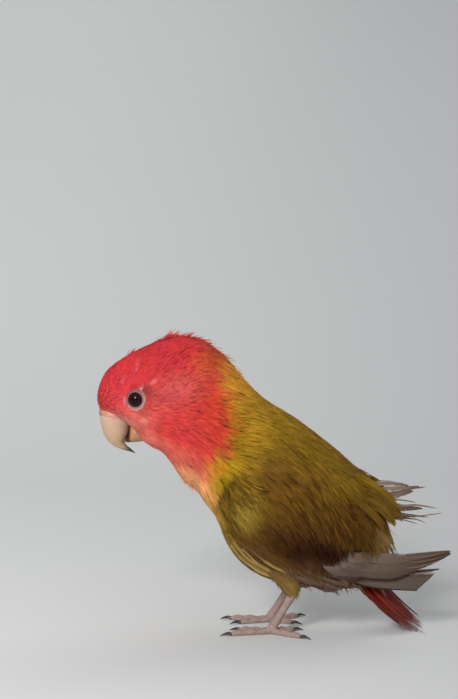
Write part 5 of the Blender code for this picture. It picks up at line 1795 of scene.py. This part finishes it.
def ringed(obj, lines):
    """Presses the cross grooves of scales into a foot, along each toe and the shank."""
    mesh = obj.data
    points = np.array([v.co for v in mesh.vertices])
    normals = np.array([v.normal for v in mesh.vertices])
    nearest, run = np.full(len(points), 1e9), np.zeros(len(points))
    for line in lines:
        line = np.array(line) * MM
        dense = spline(line, np.linspace(0, len(line) - 1, 80))
        lengths = np.concatenate([[0], np.cumsum(np.linalg.norm(np.diff(dense, axis=0), axis=1))])
        away = np.linalg.norm(points[:, None] - dense[None], axis=2)
        k = away.argmin(axis=1)
        close = away[np.arange(len(points)), k]
        run = np.where(close < nearest, lengths[k], run)
        nearest = np.minimum(nearest, close)
    upper = smooth_step(-0.2, 0.5, normals[:, 2] + np.abs(normals[:, 0]) * 0.3)
    wave = np.abs(np.sin(run / MM * math.pi / 1.05)) ** 0.45
    groove = (1 - wave) * upper
    points = points - normals * (groove * 0.17 * MM)[:, None]
    points[:, 2] = np.maximum(points[:, 2], 0.0)
    mesh.vertices.foreach_set("co", points.astype(np.float32).ravel())
    set_values(obj, "groove", groove)
    mesh.update()


def make_feet():
    skin, horn = foot_material(), claw_material()
    for side, word in ((LEFT, "left"), (RIGHT, "right")):
        ankle = np.array((ANKLE[0], -side * (LEG_SIDE - 0.4), ANKLE[1]))
        sole = np.array((SOLE_AT[0], -side * LEG_SIDE, SOLE_AT[1]))
        top = ankle + (ankle - sole) * 0.12
        shank = [top, ankle + (sole - ankle) * 0.3, ankle + (sole - ankle) * 0.65, sole,
                 sole + (sole - ankle) / np.linalg.norm(sole - ankle) * 0.4]
        parts = [limb("shank", shank, [TARSUS_RADIUS * k for k in (1.2, 0.98, 1.0, 1.25, 0.7)])]
        lines = [shank]
        for toe, heading, length in TOES:
            path, ahead = toe_line(side, heading, length)
            parts.append(limb(toe, path, [TOE_RADIUS * p for p in TOE_PADS]))
            lines.append(path)
            end = path[-1]
            claw_path = [end + ahead * CLAW_LENGTH * t + np.array((0, 0, 0.55 * math.sin(
                math.pi * min(t * 1.15, 1.0)) - 0.45 * t * t)) for t in (-0.1, 0.0, 0.33, 0.67, 1.0)]
            claw = limb(f"claw_{word}_{toe}_horn", claw_path, [0.66, 0.74, 0.60, 0.36, 0.07], 20, 8)
            for vertex in claw.data.vertices:
                vertex.co.z = max(vertex.co.z, 0.0)
            count = len(claw.data.vertices) - 2
            along = np.repeat(np.linspace(0, 1, count // 20), 20)
            set_values(claw, "along", np.concatenate([along, [0.0, 1.0]]))
            claw.data.materials.append(horn)
            finish_piece(claw, "claw", f"claw_{word}_{toe}")
        foot = remeshed(f"foot_{word}_skin", parts, 0.22, 3)
        ringed(foot, lines)
        foot.data.materials.append(skin)
        finish_piece(foot, "foot_skin", f"foot_{word}")


make_feet()


# The studio


def curved_backdrop():
    """A pale floor that rises behind the bird in one sweep, with painted shade that darkens it towards +X."""
    profile = [(-3.0, 0.0), (0.35, 0.0)]
    for step in range(1, 13):
        angle = math.pi / 2 * step / 12
        profile.append((0.35 + 0.5 * math.sin(angle), 0.5 * (1 - math.cos(angle))))
    profile.append((0.85, 3.0))
    across = np.linspace(-3.0, 3.0, 9)
    points = np.array([(x, y, z) for y, z in profile for x in across])
    width = len(across)
    faces = [(i * width + j, i * width + j + 1, (i + 1) * width + j + 1, (i + 1) * width + j)
             for i in range(len(profile) - 1) for j in range(width - 1)]
    obj = mesh_from_arrays("backdrop", points, [np.array(faces)])
    material, tree, shader = new_material("backdrop_paper", Roughness=0.9)
    place = add_node(tree, "NewGeometry").outputs["Position"]
    noise = add_node(tree, "TexNoise", None, Vector=place, Scale=4.0, Detail=2.0)
    shown = mix_colour(tree, noise.outputs[0], colour(218, 218, 217), colour(223, 223, 222))
    parts = add_node(tree, "SeparateXYZ", None, Vector=place)
    # painted shade: the paper darkens towards +X, the right of the picture
    right = remap(tree, parts.outputs[0], -0.25, 0.30)
    shown = mix_colour(tree, right, shown, colour(180, 180, 181))
    tree.links.new(shown, shader.inputs["Base Color"])
    obj.data.materials.append(material)


def area_light(name, place, target, size, power, tone=(1.0, 1.0, 1.0)):
    data = bpy.data.lights.new(name, "AREA")
    data.size = size
    data.energy = power
    data.color = tone
    obj = bpy.data.objects.new(name, data)
    obj.location = place
    obj.rotation_euler = (Vector(target) - Vector(place)).to_track_quat("-Z", "Y").to_euler()
    bpy.context.scene.collection.objects.link(obj)


def studio():
    curved_backdrop()
    world = bpy.data.worlds.new("studio_air")
    world.use_nodes = True
    air = world.node_tree.nodes["Background"]
    air.inputs["Color"].default_value = (0.80, 0.83, 0.85, 1.0)
    air.inputs["Strength"].default_value = 0.50
    bpy.context.scene.world = world
    area_light("key_light", (-0.35, -0.75, 0.55), (-0.01, 0, 0.07), 0.30, 7.6)
    area_light("back_fill", (0.5, 0.5, 0.6), (0.0, 0, 0.06), 0.6, 2.4)
    bpy.context.scene.view_settings.view_transform = "Standard"
    data = bpy.data.cameras.new("camera")
    data.sensor_fit = "VERTICAL"
    data.sensor_height = 36.0
    data.lens = 77.25
    data.clip_start = 0.01
    camera = bpy.data.objects.new("camera", data)
    tilt = math.radians(4.0)
    target = Vector((-0.0172, 0, 0.113))
    camera.location = target + Vector((0, -math.cos(tilt), math.sin(tilt))) * 0.6
    camera.rotation_euler = (math.pi / 2 - tilt, 0, 0)
    bpy.context.scene.collection.objects.link(camera)
    bpy.context.scene.camera = camera


studio()
